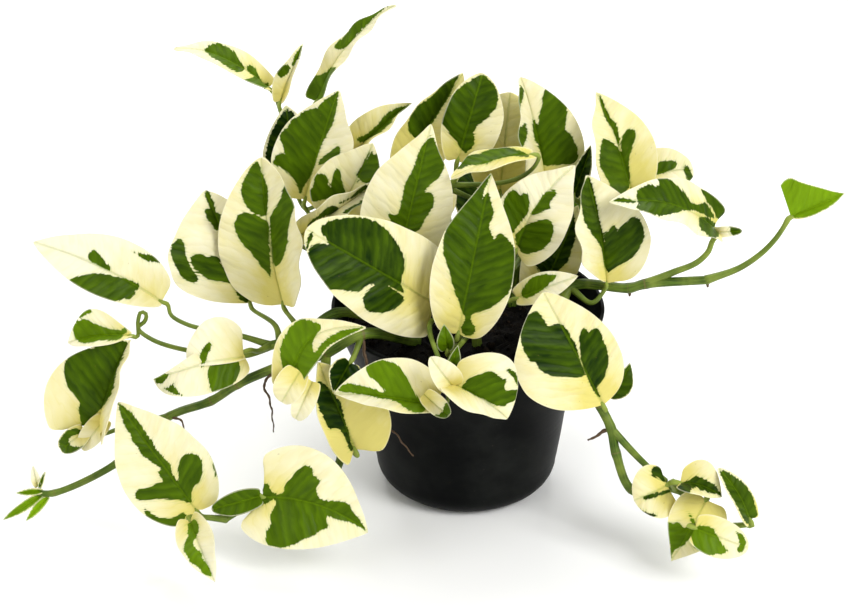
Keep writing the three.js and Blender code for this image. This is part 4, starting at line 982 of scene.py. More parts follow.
class Wiring:
    """Short ways to place and join the nodes of one material or effect."""

    def __init__(self, tree: bpy.types.NodeTree) -> None:
        """Takes the node tree to work in."""
        self.tree = tree

    def feed(self, socket: Socket, value: Any) -> None:
        """Joins a socket to another, or sets it.

        Args:
            socket: The input.
            value: An output to join, or a number or colour.
        """
        if isinstance(value, bpy.types.NodeSocket):
            self.tree.links.new(value, socket)
        elif isinstance(value, tuple) and len(value) == 3 and socket.type == "RGBA":
            socket.default_value = (*value, 1.0)
        else:
            socket.default_value = value

    def node(self, kind: str, inputs: dict[str | int, Any] | None = None, **options: Any) -> bpy.types.Node:
        """Places a node.

        Args:
            kind: Its type.
            inputs: What feeds its inputs, by name or number.
            **options: Its settings.

        Returns:
            The node.
        """
        node = self.tree.nodes.new(kind)
        for name, value in options.items():
            setattr(node, name, value)
        for key, value in (inputs or {}).items():
            self.feed(node.inputs[key], value)
        return node

    def math(self, operation: str, *values: Any, clamp: bool = False) -> Socket:
        """Reckons with one to three values, and may keep the result from 0 to 1."""
        node = self.node("ShaderNodeMath", dict(enumerate(values)), operation=operation, use_clamp=clamp)
        return node.outputs[0]

    def times(self, a: Any, b: Any) -> Socket:
        """Multiplies two values."""
        return self.math("MULTIPLY", a, b)

    def minus(self, a: Any, b: Any) -> Socket:
        """Takes the second value from the first."""
        return self.math("SUBTRACT", a, b)

    def times_plus(self, a: Any, b: Any, c: Any, clamp: bool = False) -> Socket:
        """Multiplies the first two values and adds the third."""
        return self.math("MULTIPLY_ADD", a, b, c, clamp=clamp)

    def swing(self, noise: Any, amount: Any, base: Any, clamp: bool = False) -> Socket:
        """Adds noise, less its mean of a half and times an amount, to a value."""
        return self.times_plus(self.minus(noise, 0.5), amount, base, clamp)

    def step(self, value: Any, low: float, high: float) -> Socket:
        """Gives a soft step from 0 at low to 1 at high."""
        inputs = {"Value": value, "From Min": low, "From Max": high}
        return self.node("ShaderNodeMapRange", inputs, interpolation_type="SMOOTHSTEP").outputs["Result"]

    def fade(self, value: Any, low: float, high: float) -> Socket:
        """Gives a soft step from 1 at low to 0 at high."""
        return self.minus(1.0, self.step(value, low, high))

    def mix(self, share: Any, a: Any, b: Any) -> Socket:
        """Mixes two colours by the share of the second."""
        return self.node("ShaderNodeMix", {0: share, 6: a, 7: b}, data_type="RGBA").outputs[2]

    def parts(self, vector: Socket) -> Sequence[Socket]:
        """Splits a vector into its three numbers."""
        return self.node("ShaderNodeSeparateXYZ", {0: vector}).outputs[:]

    def vector(self, x: Any, y: Any, z: Any) -> Socket:
        """Joins three numbers into a vector."""
        return self.node("ShaderNodeCombineXYZ", {0: x, 1: y, 2: z}).outputs[0]

    def noise(self, where: Socket, scale: float = 1.0, detail: float = 2.0, rough: float = 0.5) -> Socket:
        """Gives soft noise, about 0.5, at a place."""
        inputs = {"Vector": where, "Scale": scale, "Detail": detail, "Roughness": rough}
        return self.node("ShaderNodeTexNoise", inputs).outputs[0]

    def cells(self, where: Socket, scale: float) -> Socket:
        """Gives the distance from a place to the nearest of scattered points."""
        inputs = {"Vector": where, "Scale": scale}
        return self.node("ShaderNodeTexVoronoi", inputs, feature="F1").outputs["Distance"]

    def value(self, name: str) -> Socket:
        """Reads one of the values that the mesh carries."""
        return self.node("ShaderNodeAttribute", attribute_name=name).outputs["Vector"]

    def place(self) -> Socket:
        """Gives the place on the piece, in metres."""
        return self.node("ShaderNodeTexCoord").outputs["Object"]


def new_effect(name: str, inputs: dict[str, Any],
               outputs: dict[str, str]) -> tuple[Wiring, dict[str, Socket], bpy.types.Node]:
    """Starts a shader node group.

    Args:
        name: Its name.
        inputs: Its inputs, each with the value that it starts with.
        outputs: Its outputs, each with its kind.

    Returns:
        The wiring of the group, its inputs as seen from inside, and the node that takes its outputs.
    """
    tree = bpy.data.node_groups.new(name, "ShaderNodeTree")
    for label, value in inputs.items():
        kind = "NodeSocketColor" if isinstance(value, tuple) else "NodeSocketFloat"
        socket = tree.interface.new_socket(label, in_out="INPUT", socket_type=kind)
        socket.default_value = (*value, 1.0) if isinstance(value, tuple) else value
    for label, kind in outputs.items():
        tree.interface.new_socket(label, in_out="OUTPUT", socket_type=kind)
    wiring = Wiring(tree)
    source, sink = wiring.node("NodeGroupInput"), wiring.node("NodeGroupOutput")
    return wiring, {label: source.outputs[label] for label in inputs}, sink


class MaterialWiring(Wiring):
    """The wiring of a new material with a Principled shader."""

    def __init__(self, name: str) -> None:
        """Starts the material.

        Args:
            name: Its name.
        """
        self.material = bpy.data.materials.new(name)
        self.material.use_nodes = True
        super().__init__(self.material.node_tree)
        self.shader = next(node for node in self.tree.nodes if node.type == "BSDF_PRINCIPLED")

    def dress(self, inputs: dict[str, Any], height: Socket | None = None, strength: float = 0.5,
              depth: float = 0.0005) -> bpy.types.Material:
        """Feeds the shader.

        Args:
            inputs: What feeds its inputs, by name.
            height: The relief of the surface, if it has one.
            strength: How strongly the relief shows.
            depth: Depth of the relief, in metres.

        Returns:
            The material.
        """
        if height is not None:
            relief = {"Height": height, "Strength": strength, "Distance": depth}
            inputs = {**inputs, "Normal": self.node("ShaderNodeBump", relief).outputs[0]}
        for label, value in inputs.items():
            self.feed(self.shader.inputs[label], value)
        return self.material


# Finishes


@dataclass(frozen=True)
class LeafFinish:
    """The satin, variegated skin of a blade."""

    deep_green: Colour = (0.005, 0.019, 0.0006)
    fresh_green: Colour = (0.20, 0.36, 0.004)
    ivory: Colour = (0.80, 0.76, 0.56)
    butter: Colour = (0.66, 0.58, 0.17)
    underside: Colour = (0.19, 0.28, 0.055)
    speck: Colour = (0.16, 0.10, 0.03)
    roughness: float = 0.36
    jaggedness: float = 2.3
    veins_per_mm: float = 0.23

    def variegation(self) -> bpy.types.NodeTree:
        """Makes the effect that paints the patches, veins and margin.

        Returns:
            The node group.
        """
        wires, given, sink = new_effect(
            "variegation",
            {"Deep green": self.deep_green, "Fresh green": self.fresh_green, "Ivory": self.ivory,
             "Butter": self.butter, "Jaggedness": self.jaggedness},
            {"Colour": "NodeSocketColor", "Roughness": "NodeSocketFloat", "Height": "NodeSocketFloat"})
        green_mm, rib_mm, edge_mm = wires.parts(wires.value("leaf_marks"))
        vein_mm, across_mm, share = wires.parts(wires.value("leaf_place"))
        fresh, warm, seed = wires.parts(wires.value("leaf_tone"))
        under = wires.parts(wires.value("leaf_side"))[0]

        def grain(along: float, across: float, change: float, detail: float, rough: float) -> Socket:
            """Gives noise that is longer or shorter along the veins and changes from blade to blade."""
            where = wires.vector(wires.times(vein_mm, along), wires.times(across_mm, across),
                                 wires.times(seed, change))
            return wires.noise(where, 1.0, detail, rough)

        streaks = grain(0.75, 0.08, 31.0, 3.0, 0.65)
        threads = grain(1.9, 0.22, 17.0, 2.0, 0.6)
        blotches = grain(0.2, 0.12, 53.0, 2.0, 0.5)
        ragged = wires.swing(threads, 1.5, wires.times(wires.minus(streaks, 0.5), given["Jaggedness"]))
        border = wires.math("ADD", green_mm, ragged)
        green = wires.step(border, -0.14, 0.14)
        halo = wires.times(wires.step(wires.swing(threads, 5.0, border), -1.3, 0.2), 0.3)
        # Midrib, margin and the lateral veins, a few millimetres apart
        wander = wires.times_plus(blotches, 1.4, wires.times(vein_mm, self.veins_per_mm))
        ridge = wires.math("PINGPONG", wander, 0.5)
        vein = wires.fade(ridge, 0.0, 0.07)
        rib = wires.fade(rib_mm, 0.25, 0.7)
        margin = wires.fade(wires.times_plus(streaks, 0.5, edge_mm), 0.45, 0.85)
        # Greens, with a painted sheen between the lateral veins
        freshness_and_sheen = wires.swing(blotches, 0.36, wires.times(fresh, 0.55))
        freshness_and_sheen = wires.swing(streaks, 0.12, freshness_and_sheen, clamp=True)
        # Painted sheen: greens lighter between the lateral veins and darker on them, as if light caught the
        # quilted bulges.
        freshness_and_sheen = wires.swing(wires.step(ridge, 0.0, 0.5), wires.times(blotches, 0.13), freshness_and_sheen, clamp=True)
        greens = wires.mix(freshness_and_sheen, given["Deep green"], given["Fresh green"])
        greens = wires.mix(wires.times(rib, 0.18), greens, given["Fresh green"])
        # Creams, yellower near the base and the midrib
        near = wires.times(wires.fade(share, 0.0, 0.65), wires.fade(rib_mm, 0.0, 22.0))
        yellow = wires.swing(blotches, 0.7, wires.times_plus(near, 0.85, warm))
        yellow = wires.times_plus(vein, 0.10, yellow, clamp=True)
        creams = wires.mix(yellow, given["Ivory"], given["Butter"])
        creams = wires.mix(wires.times(halo, 0.8), creams, given["Fresh green"])
        creams = wires.mix(wires.times(rib, 0.2), creams, given["Fresh green"])
        colour = wires.mix(green, creams, greens)
        colour = wires.mix(wires.times(margin, 0.4), colour, given["Ivory"])
        dull = wires.mix(wires.times_plus(green, 0.45, 0.12), colour, self.underside)
        colour = wires.mix(wires.times(under, 0.8), colour, dull)
        spots = wires.cells(wires.vector(vein_mm, across_mm, wires.times(seed, 9.0)), 0.16)
        colour = wires.mix(wires.times(wires.fade(spots, 0.03, 0.055), 0.35), colour, self.speck)
        roughness = wires.times_plus(green, -0.05, wires.times_plus(streaks, 0.14, self.roughness))
        bulge = wires.times_plus(wires.step(ridge, 0.0, 0.4), 0.55, wires.times(threads, 0.16))
        height = wires.times_plus(green, 0.12, wires.times_plus(rib, -0.6, bulge))
        for label, value in (("Colour", colour), ("Roughness", roughness), ("Height", height)):
            wires.feed(sink.inputs[label], value)
        return wires.tree

    def material(self) -> bpy.types.Material:
        """Makes the blade's material.

        Returns:
            The material.
        """
        wires = MaterialWiring("variegated_leaf")
        skin = wires.node("ShaderNodeGroup", node_tree=self.variegation()).outputs
        return wires.dress({"Base Color": skin["Colour"], "Roughness": skin["Roughness"],
                            "Subsurface Weight": 0.08, "Subsurface Radius": (0.6, 0.7, 0.15),
                            "Subsurface Scale": 0.0012, "Specular IOR Level": 0.05},
                           skin["Height"], strength=0.55, depth=0.0005)


@dataclass(frozen=True)
class StalkFinish:
    """The green skin of vines and petioles, and the brown one of roots."""

    green: Colour = (0.085, 0.155, 0.012)
    pale: Colour = (0.31, 0.38, 0.06)
    shade: Colour = (0.025, 0.05, 0.004)
    scar: Colour = (0.16, 0.12, 0.04)
    root: Colour = (0.035, 0.018, 0.010)
    root_light: Colour = (0.16, 0.10, 0.055)

    def material(self) -> bpy.types.Material:
        """Makes the stalks' material.

        Returns:
            The material.
        """
        wires = MaterialWiring("stalk_skin")
        along, around, knot = wires.parts(wires.value("stalk_place"))
        kind, seed, pale = wires.parts(wires.value("stalk_tone"))
        x, y = wires.math("COSINE", around), wires.math("SINE", around)
        lines = wires.vector(wires.times(x, 3.0), wires.times(y, 3.0), wires.times_plus(along, 0.05, seed))
        streak = wires.noise(lines, 1.6, 3.0, 0.6)
        patch = wires.noise(wires.vector(wires.times(along, 0.09), wires.times(seed, 7.0), 0.0))
        colour = wires.mix(wires.step(streak, 0.32, 0.68), self.shade, self.green)
        colour = wires.mix(wires.times(wires.step(patch, 0.35, 0.75), 0.5), colour, self.pale)
        colour = wires.mix(wires.times(pale, 0.75), colour, self.pale)
        scar = wires.fade(knot, 0.25, 0.8)
        colour = wires.mix(wires.times(scar, 0.65), colour, self.scar)
        dots = wires.cells(wires.vector(along, wires.times(around, 2.2), seed), 0.9)
        colour = wires.mix(wires.times(wires.fade(dots, 0.08, 0.16), 0.3), colour, self.pale)
        fibre = wires.noise(wires.vector(x, y, wires.times(seed, 23.0)), 4.0, 3.0)
        bark = wires.mix(fibre, self.root, self.root_light)
        colour = wires.mix(wires.step(kind, 0.7, 0.9), colour, bark)
        height = wires.times_plus(scar, -0.6, wires.times(streak, 0.6))
        return wires.dress({"Base Color": colour, "Roughness": wires.times_plus(streak, 0.2, 0.34),
                            "Specular IOR Level": 0.2}, height, strength=0.5, depth=0.0004)


@dataclass(frozen=True)
class PotFinish:
    """The near-black moulded plastic of the pot."""

    black: Colour = (0.0018, 0.0022, 0.0022)
    worn: Colour = (0.009, 0.010, 0.009)
    dust: Colour = (0.10, 0.085, 0.06)

    def material(self) -> bpy.types.Material:
        """Makes the pot's material.

        Returns:
            The material.
        """
        wires = MaterialWiring("pot_plastic")
        where = wires.place()
        x, y, z = wires.parts(where)
        cloud = wires.noise(where, 28.0, 4.0, 0.6)
        rings = wires.noise(wires.vector(wires.times(x, 6.0), wires.times(y, 6.0), wires.times(z, 700.0)))
        grain = wires.noise(where, 1800.0, 2.0, 0.6)
        colour = wires.mix(wires.step(cloud, 0.4, 0.75), self.black, self.worn)
        # Dust, more of it towards the rim
        specks = wires.fade(wires.cells(where, 260.0), 0.05, 0.13)
        dusty = wires.times(specks, wires.step(cloud, 0.5, 0.7))
        dusty = wires.times(dusty, wires.times_plus(wires.step(z, 0.078, 0.096), 0.35, 0.2))
        colour = wires.mix(dusty, colour, self.dust)
        rough = wires.times_plus(cloud, 0.16, wires.times_plus(rings, 0.08, 0.32))
        height = wires.times_plus(rings, 0.35, wires.times(grain, 0.5))
        return wires.dress({"Base Color": colour, "Roughness": rough, "Specular IOR Level": 0.04},
                           height, strength=0.25, depth=0.0003)


@dataclass(frozen=True)
class SoilFinish:
    """Dark potting mix of peat, bark and fibres, its colours made darker still as painted shade for the
    inside of the pot.
    """

    # Painted shade: these three colours are darker than the mix itself, standing in for the shade inside the
    # pot.
    peat: Colour = (0.0010, 0.0008, 0.0006)
    bark: Colour = (0.005, 0.0035, 0.0022)
    crumb: Colour = (0.022, 0.014, 0.008)

    def material(self) -> bpy.types.Material:
        """Makes the soil's material.

        Returns:
            The material.
        """
        wires = MaterialWiring("potting_mix_with_painted_shade")
        where = wires.place()
        tone = wires.parts(wires.value("crumb_tone"))[0]
        coarse = wires.noise(where, 160.0, 4.0, 0.65)
        fine = wires.noise(where, 900.0, 3.0, 0.65)
        # Peat, bark and crumbs, in colours that also carry painted shade
        colour = wires.mix(wires.step(coarse, 0.35, 0.7), self.peat, self.bark)
        colour = wires.mix(wires.times(tone, 0.7), colour, self.crumb)
        height = wires.times_plus(coarse, 1.0, wires.times(fine, 0.5))
        return wires.dress({"Base Color": colour, "Roughness": wires.times_plus(fine, 0.25, 0.68),
                            "Specular IOR Level": 0.08}, height, strength=0.8, depth=0.0012)


# Sub-assemblies

SOIL_TOP = 84.0
SOIL_MOUND = 3.0
TINY_LENGTH = 1e-9
# The depth of a place that lies in the cream everywhere
CREAM = -9.0
# How far the noise of the right half lies from that of the left half, so that they aren't alike
RIGHT_HALF_MM = 300.0


def corner_cut(outline: Array) -> Array:
    """Rounds an outline by cutting its corners, which gives twice as many."""
    ahead = np.roll(outline, -1, axis=0)
    return np.stack([outline * 0.8 + ahead * 0.2, outline * 0.2 + ahead * 0.8], axis=1).reshape(-1, 2)


def depth_inside(points: Array, outline: Array) -> Array:
    """Gives how far points lie inside an outline.

    Args:
        points: The points, in pixels.
        outline: The outline's corners, in pixels.

    Returns:
        The distance to the outline, negative outside.
    """
    ahead = np.roll(outline, -1, axis=0)
    edge = ahead - outline
    offset = points[:, None] - outline[None]
    share = np.clip((offset * edge).sum(-1) / np.maximum((edge * edge).sum(-1), TINY_LENGTH), 0, 1)
    near = np.linalg.norm(offset - share[..., None] * edge, axis=-1).min(axis=1)
    x, y = points[:, :1], points[:, 1:]
    straddles = (outline[:, 1] > y) != (ahead[:, 1] > y)
    rise = np.where(np.abs(edge[:, 1]) < TINY_LENGTH, TINY_LENGTH, edge[:, 1])
    left = x < outline[:, 0] + (y - outline[:, 1]) * edge[:, 0] / rise
    inside = (straddles & left).sum(axis=1) % 2 == 1
    return np.where(inside, near, -near)


@dataclass
class BladeGrid:
    """The middle surface of a blade as a grid of places, with what its form and markings are reckoned from.

    Each row of the grid lies across the blade, closer together near its base, its tip and its midrib.
    """

    blade: Blade
    seed: float
    first_row: float = 0.004
    last_row: float = 0.998
    crowding: float = 0.45
    rib_crowding: float = 1.25
    vein_slant: float = 0.62
    tip_margin: float = 0.6

    def __post_init__(self) -> None:
        """Reckons the places, and their distances from the midrib, along the veins and from the edge."""
        rows, columns = self.blade.steps
        even = np.linspace(0, 1, rows)
        crowded = (1 - self.crowding) * even + self.crowding * (1 - np.cos(math.pi * even)) / 2
        s = self.first_row + (self.last_row - self.first_row) * crowded
        u = np.linspace(-1, 1, columns + 1 - columns % 2)
        self.rows, self.columns = rows, len(u)
        self.s, self.t = np.meshgrid(s, np.sign(u) * np.abs(u) ** self.rib_crowding, indexing="ij")
        self.points = self.blade.surface(self.s, self.t)
        half = self.blade.half_width(self.s, self.t)
        self.length = self.blade.frame()[4]
        self.across = half * self.t
        self.distance = np.abs(self.across)
        self.vein = self.length * self.s - self.vein_slant * self.distance
        self.edge = np.minimum(half * (1 - np.abs(self.t)), (1 - self.s) * self.length * self.tip_margin)

    def normals(self) -> Array:
        """The direction square to the surface at each place."""
        normal = np.cross(np.gradient(self.points, axis=1), np.gradient(self.points, axis=0))
        return normal / np.maximum(np.linalg.norm(normal, axis=-1), TINY_LENGTH)[..., None]

    def green_depth(self) -> Array:
        """Gives how deep each place lies in the green, in millimetres, negative in the cream.

        A blade has a plain margin, outlines read off or, out of sight, patches from a formula.

        Returns:
            The depth at each place.
        """
        blade, vein, across, seed = self.blade, self.vein, self.across, self.seed
        if blade.margin is not None:
            return self.edge - blade.margin
        if blade.name in GREEN_PATCHES:
            pixels = VIEW.pixels(self.points).reshape(-1, 2)
            depths = [depth_inside(pixels, corner_cut(outline)) for outline in GREEN_PATCHES[blade.name]]
            return np.max(depths, axis=0).reshape(across.shape) / VIEW.px_per_mm
        if blade.name.startswith(("leaf_", "lobe_")):
            return np.full(across.shape, CREAM)
        wide = 7 * np.sin(vein * 0.13 + seed * 40) + 5 * np.sin(across * 0.21 + seed * 90)
        return np.minimum(wide + 4 * np.sin(vein * 0.33 - across * 0.2 + seed * 20) - 1.0, self.edge - 1.2)

    def values(self) -> dict[str, Array]:
        """Gives what the material reads.

        Returns:
            Three numbers for each place, by the name of the value.
        """
        tone = np.broadcast_to([self.blade.fresh, self.blade.warm, self.seed], self.points.shape)
        marks = np.stack([self.green_depth(), self.distance, self.edge], axis=-1)
        vein = self.vein + np.where(self.t < 0, 0.0, RIGHT_HALF_MM)
        place = np.stack([vein, self.distance, self.s], axis=-1)
        return {"leaf_marks": marks, "leaf_place": place, "leaf_tone": tone}


@dataclass
class Foliage:
    """All the blades: thin satin shells with a grooved midrib, gentle swells and their own markings."""

    finish: LeafFinish = field(default_factory=LeafFinish)
    thickness: float = 0.5
    groove: float = 0.45
    groove_width: float = 0.9
    keel: float = 0.5
    keel_width: float = 0.75
    swell: float = 0.6
    swell_onset: float = 6.0
    ripple: float = 0.55
    full_length: float = 45.0

    def __post_init__(self) -> None:
        """Makes the material that all blades share."""
        self.material = self.finish.material()

    def add_blade(self, piece: PieceMesh, blade: Blade, seed: float) -> None:
        """Adds one blade to a piece.

        Args:
            piece: The piece.
            blade: The blade.
            seed: Its own number from 0 to 1.
        """
        grid = BladeGrid(blade, seed)
        s, t, distance, left = grid.s, grid.t, grid.distance, grid.t < 0
        along = grid.length * s
        soft = min(1.0, grid.length / self.full_length)
        hills = np.sin(grid.vein * 0.32 + seed * 30 + np.where(left, 0, 2.1))
        swell = self.swell * soft * (hills * np.minimum(distance / self.swell_onset, 1)
                                     + 0.5 * np.sin(along * 0.2 + seed * 11))
        waves = np.sin(along * 0.34 + seed * 50 + np.where(left, 0.0, 1.9))
        ripple = self.ripple * soft * np.abs(t) ** 2.5 * waves
        groove = self.groove * soft * np.exp(-(distance / self.groove_width) ** 2) * (1 - s) ** 0.3
        lift = swell + ripple - groove
        thin = self.thickness * (0.5 - 0.18 * np.abs(t) ** 6)
        keel = self.keel * soft * np.exp(-(distance / self.keel_width) ** 2) * (1 - s) ** 0.6
        normal = grid.normals()
        upper = grid.points + normal * (lift + thin)[..., None]
        lower = grid.points + normal * (lift - thin - keel)[..., None]
        values = {name: np.tile(value.reshape(-1, 3), (2, 1)) for name, value in grid.values().items()}
        side = np.repeat([0.0, 1.0], grid.rows * grid.columns)
        piece.add(np.concatenate([upper, lower]).reshape(-1, 3), shell_faces(grid.rows, grid.columns),
                  leaf_side=np.repeat(side[:, None], 3, axis=1), **values)

    def build(self) -> None:
        """Makes every blade that is a node of its own."""
        for number, blade in enumerate(LEAVES):
            piece = PieceMesh(f"fine_{blade.name}")
            for part in (blade, *LOBES.get(blade.name, ())):
                self.add_blade(piece, part, (number * 0.618) % 1.0)
            piece.build(self.material, Slot.LEAF, blade.name)

    def build_part_of(self, stem: Stem) -> None:
        """Makes the small or hidden blades that belong to a stem."""
        for number, blade in enumerate(stem.blades):
            piece = PieceMesh(f"fine_{stem.name}_{blade.name}")
            self.add_blade(piece, blade, (number * 0.37 + len(stem.name) * 0.11) % 1.0)
            piece.build(self.material, Slot.LEAF, stem.name)


@dataclass
class Vines:
    """The cuttings' stems with their knots, petioles and roots."""

    finish: StalkFinish = field(default_factory=StalkFinish)
    sides: int = 14
    thin_sides: int = 10
    step: float = 1.6
    root_step: float = 0.8
    hole_depth: float = 13.5
    knot_swelling: float = 0.13
    knot_length: float = 2.0
    root_wander: float = 0.25
    root_taper: float = 0.35
    stub_taper: float = 0.7
    far_from_knot: float = 9.0

    def add_stalk(self, piece: PieceMesh, points: Sequence[Array], radii: Pair, kind: StalkKind,
                  seed: float, knots: bool = False) -> None:
        """Adds one stalk along a smooth line.

        Args:
            piece: The piece.
            points: The places that it runs through.
            radii: Its radius at the start and the end.
            kind: What it is.
            seed: Its own number.
            knots: Whether it has a knot at each of its places.
        """
        line, marks = smooth_curve(points, self.root_step if kind is StalkKind.ROOT else self.step)
        share = np.linspace(0, 1, len(line))
        along = share * marks[-1]
        radius = radii[0] + (radii[1] - radii[0]) * share
        nearest = np.full(len(line), self.far_from_knot)
        pale = np.zeros(len(line))
        if knots and len(marks) > 2:
            nearest = np.min(np.abs(along[:, None] - marks[None, 1:-1]), axis=1)
        if knots:
            radius = radius * (1 + self.knot_swelling * np.exp(-(nearest / self.knot_length) ** 2))
        if kind is StalkKind.PETIOLE:
            # A sheath at the start, and a paler knee just before the blade
            to_end = marks[-1] - along
            sheath, knee = np.exp(-along / 7), np.exp(-((to_end - 4) / 2.2) ** 2)
            radius = radius * (1 + 0.5 * sheath) * (1 + 0.22 * knee)
            pale = 0.25 + 0.6 * np.exp(-((to_end - 3) / 4) ** 2)
        if kind is StalkKind.ROOT:
            wobble = [np.sin(along * 0.9 + seed), np.cos(along * 0.7 + seed * 2), np.sin(along * 0.5)]
            line = line + np.stack(wobble, axis=1) * self.root_wander * np.minimum(along, 3)[:, None] / 3
            radius = radius * (1 + 0.15 * np.sin(along * 2.1))
        place = np.stack([along, along * 0, nearest], axis=1)
        tone = np.stack([np.full(len(line), kind.value), np.full(len(line), seed), pale], axis=1)
        sides = self.sides if kind is StalkKind.STEM else self.thin_sides
        add_tube(piece, line, radius, sides, stalk_place=place, stalk_tone=tone)

    def build_stem(self, stem: Stem, material: bpy.types.Material, number: int) -> None:
        """Makes one stem with all that grows from it.

        Args:
            stem: The stem.
            material: The stalks' material.
            number: Its number.
        """
        piece = PieceMesh(f"fine_{stem.name}")
        path, thick = stem.places(), stem.radii[0]
        low, mid, high = (np.array([*stem.foot, SOIL_TOP + z]) for z in
                          (-self.hole_depth, SOIL_MOUND + 0.5, SOIL_MOUND + 2))
        self.add_stalk(piece, [low, high], (thick, thick), StalkKind.STEM, number)
        self.add_stalk(piece, [mid, *path], stem.radii, StalkKind.STEM, number, knots=True)
        branches = [(path, stem.petioles)]
        if stem.branch:
            start, radii, places, petioles = stem.branch
            branch = [VIEW.seen(place) for place in places]
            self.add_stalk(piece, [path[start], *branch], radii, StalkKind.STEM, number + 0.5, knots=True)
            branches.append((branch, petioles))
        for places_of, petioles in branches:
            for petiole in petioles:
                self.add_stalk(piece, petiole.points(places_of), petiole.radii, StalkKind.PETIOLE,
                               number + 0.1 * len(petiole.leaf))
        for offshoot in stem.offshoots:
            points = [path[offshoot.start], *map(VIEW.seen, offshoot.via)]
            taper = self.root_taper if offshoot.kind is StalkKind.ROOT else self.stub_taper
            ends = (offshoot.radius, offshoot.radius * taper)
            self.add_stalk(piece, points, ends, offshoot.kind, number + 0.3)
        for blade in stem.blades if stem.upright else ():
            base, along, face, _, _ = blade.frame()
            points = [path[-1], base - along * 3, base + along * 1.5 - face * 0.4]
            self.add_stalk(piece, points, PETIOLE_RADII, StalkKind.PETIOLE, number + 0.7)
        piece.build(material, Slot.STEM, stem.name)

    def build(self) -> None:
        """Makes every stem."""
        material = self.finish.material()
        for number, stem in enumerate(STEMS):
            self.build_stem(stem, material, number)


@dataclass
class Pot:
    """The flared plastic nursery pot, with a rounded foot, a thin lip and holes in its floor.

    Its wall runs through wall_knots, radius and height. Each place of its lip is given by how far it lies
    inside the rim's radius and by its height.
    """

    finish: PotFinish = field(default_factory=PotFinish)
    rim_radius: float = 65.5
    foot_radius: float = 31.0
    foot_rounding: float = 13.5
    foot_steps: int = 9
    wall: float = 1.8
    wall_top: float = 93.6
    wall_steps: int = 40
    wall_knots: tuple[Pair, ...] = ((44.6, 13.5), (46.6, 27), (48.6, 42), (51.8, 58), (56.6, 72), (62, 86),
                                    (65.4, 95))
    lip: tuple[Pair, ...] = ((0.1, 94.6), (0.0, 95.2), (0.25, 95.8), (0.9, 96.0), (1.6, 95.8), (2.0, 95.0))
    floor: float = 3.0
    floor_radii: tuple[float, ...] = (0.0, 10.0, 26.0)
    hole_count: int = 5
    hole_radius: float = 3.5
    hole_ring: float = 19.0
    hole_sides: int = 24
    drill: Pair = (-2.0, 6.0)
    sides: int = 128

    def foot(self, rounding: float, low: float) -> list[Pair]:
        """Gives radius and height of each point of the foot, from its underside at low upwards."""
        return [(self.foot_radius + rounding * math.sin(a), low + rounding * (1 - math.cos(a)))
                for a in np.linspace(0, math.pi / 2, self.foot_steps)]

    def profile(self) -> Array:
        """Gives the pot's outline, from the middle of its underside up outside and down inside.

        Returns:
            Radius and height of each point.
        """
        heights = np.linspace(self.foot_rounding, self.wall_top, self.wall_steps)
        smooth, _ = smooth_curve([np.array([r, z, 0.0]) for r, z in self.wall_knots], 1.0)
        wall = list(zip(np.interp(heights, smooth[:, 1], smooth[:, 0]), heights))
        underside = [(r, 0.0) for r in self.floor_radii]
        lip = [(self.rim_radius - r, z) for r, z in self.lip]
        inside = [(r - self.wall, z) for r, z in wall[:1:-1]]
        inner_foot = self.foot(self.foot_rounding - self.floor, self.floor)[::-1]
        floor = [(r, self.floor) for r in self.floor_radii[::-1]]
        outside = [*underside, *self.foot(self.foot_rounding, 0.0), *wall[1:]]
        return np.array([*outside, *lip, *inside, *inner_foot, *floor])

    def build(self) -> None:
        """Makes the pot and cuts its drain holes."""
        piece = PieceMesh("fine_pot")
        add_turned(piece, self.profile(), self.sides)
        pot = piece.build(self.finish.material(), Slot.POT, "pot", sharp=40)
        drills = PieceMesh("drain_drills")
        turn = corner_angles(self.hole_sides)
        for angle in corner_angles(self.hole_count) + math.pi / 2:
            ring = np.stack([self.hole_ring * math.cos(angle) + self.hole_radius * np.cos(turn),
                             self.hole_ring * math.sin(angle) + self.hole_radius * np.sin(turn)], axis=1)
            ends = [np.c_[ring, np.full(self.hole_sides, z)] for z in self.drill]
            drills.add(np.concatenate(ends), capped_rings(2, self.hole_sides))
        cutter = placed(drills.name, drills.bare_mesh())
        cut = pot.modifiers.new("drain_holes", "BOOLEAN")
        cut.object, cut.operation, cut.solver = cutter, "DIFFERENCE", "EXACT"
        bpy.context.view_layer.update()
        holed = bpy.data.meshes.new_from_object(pot.evaluated_get(bpy.context.evaluated_depsgraph_get()))
        pot.modifiers.clear()
        pot.data = holed
        bpy.data.objects.remove(cutter)


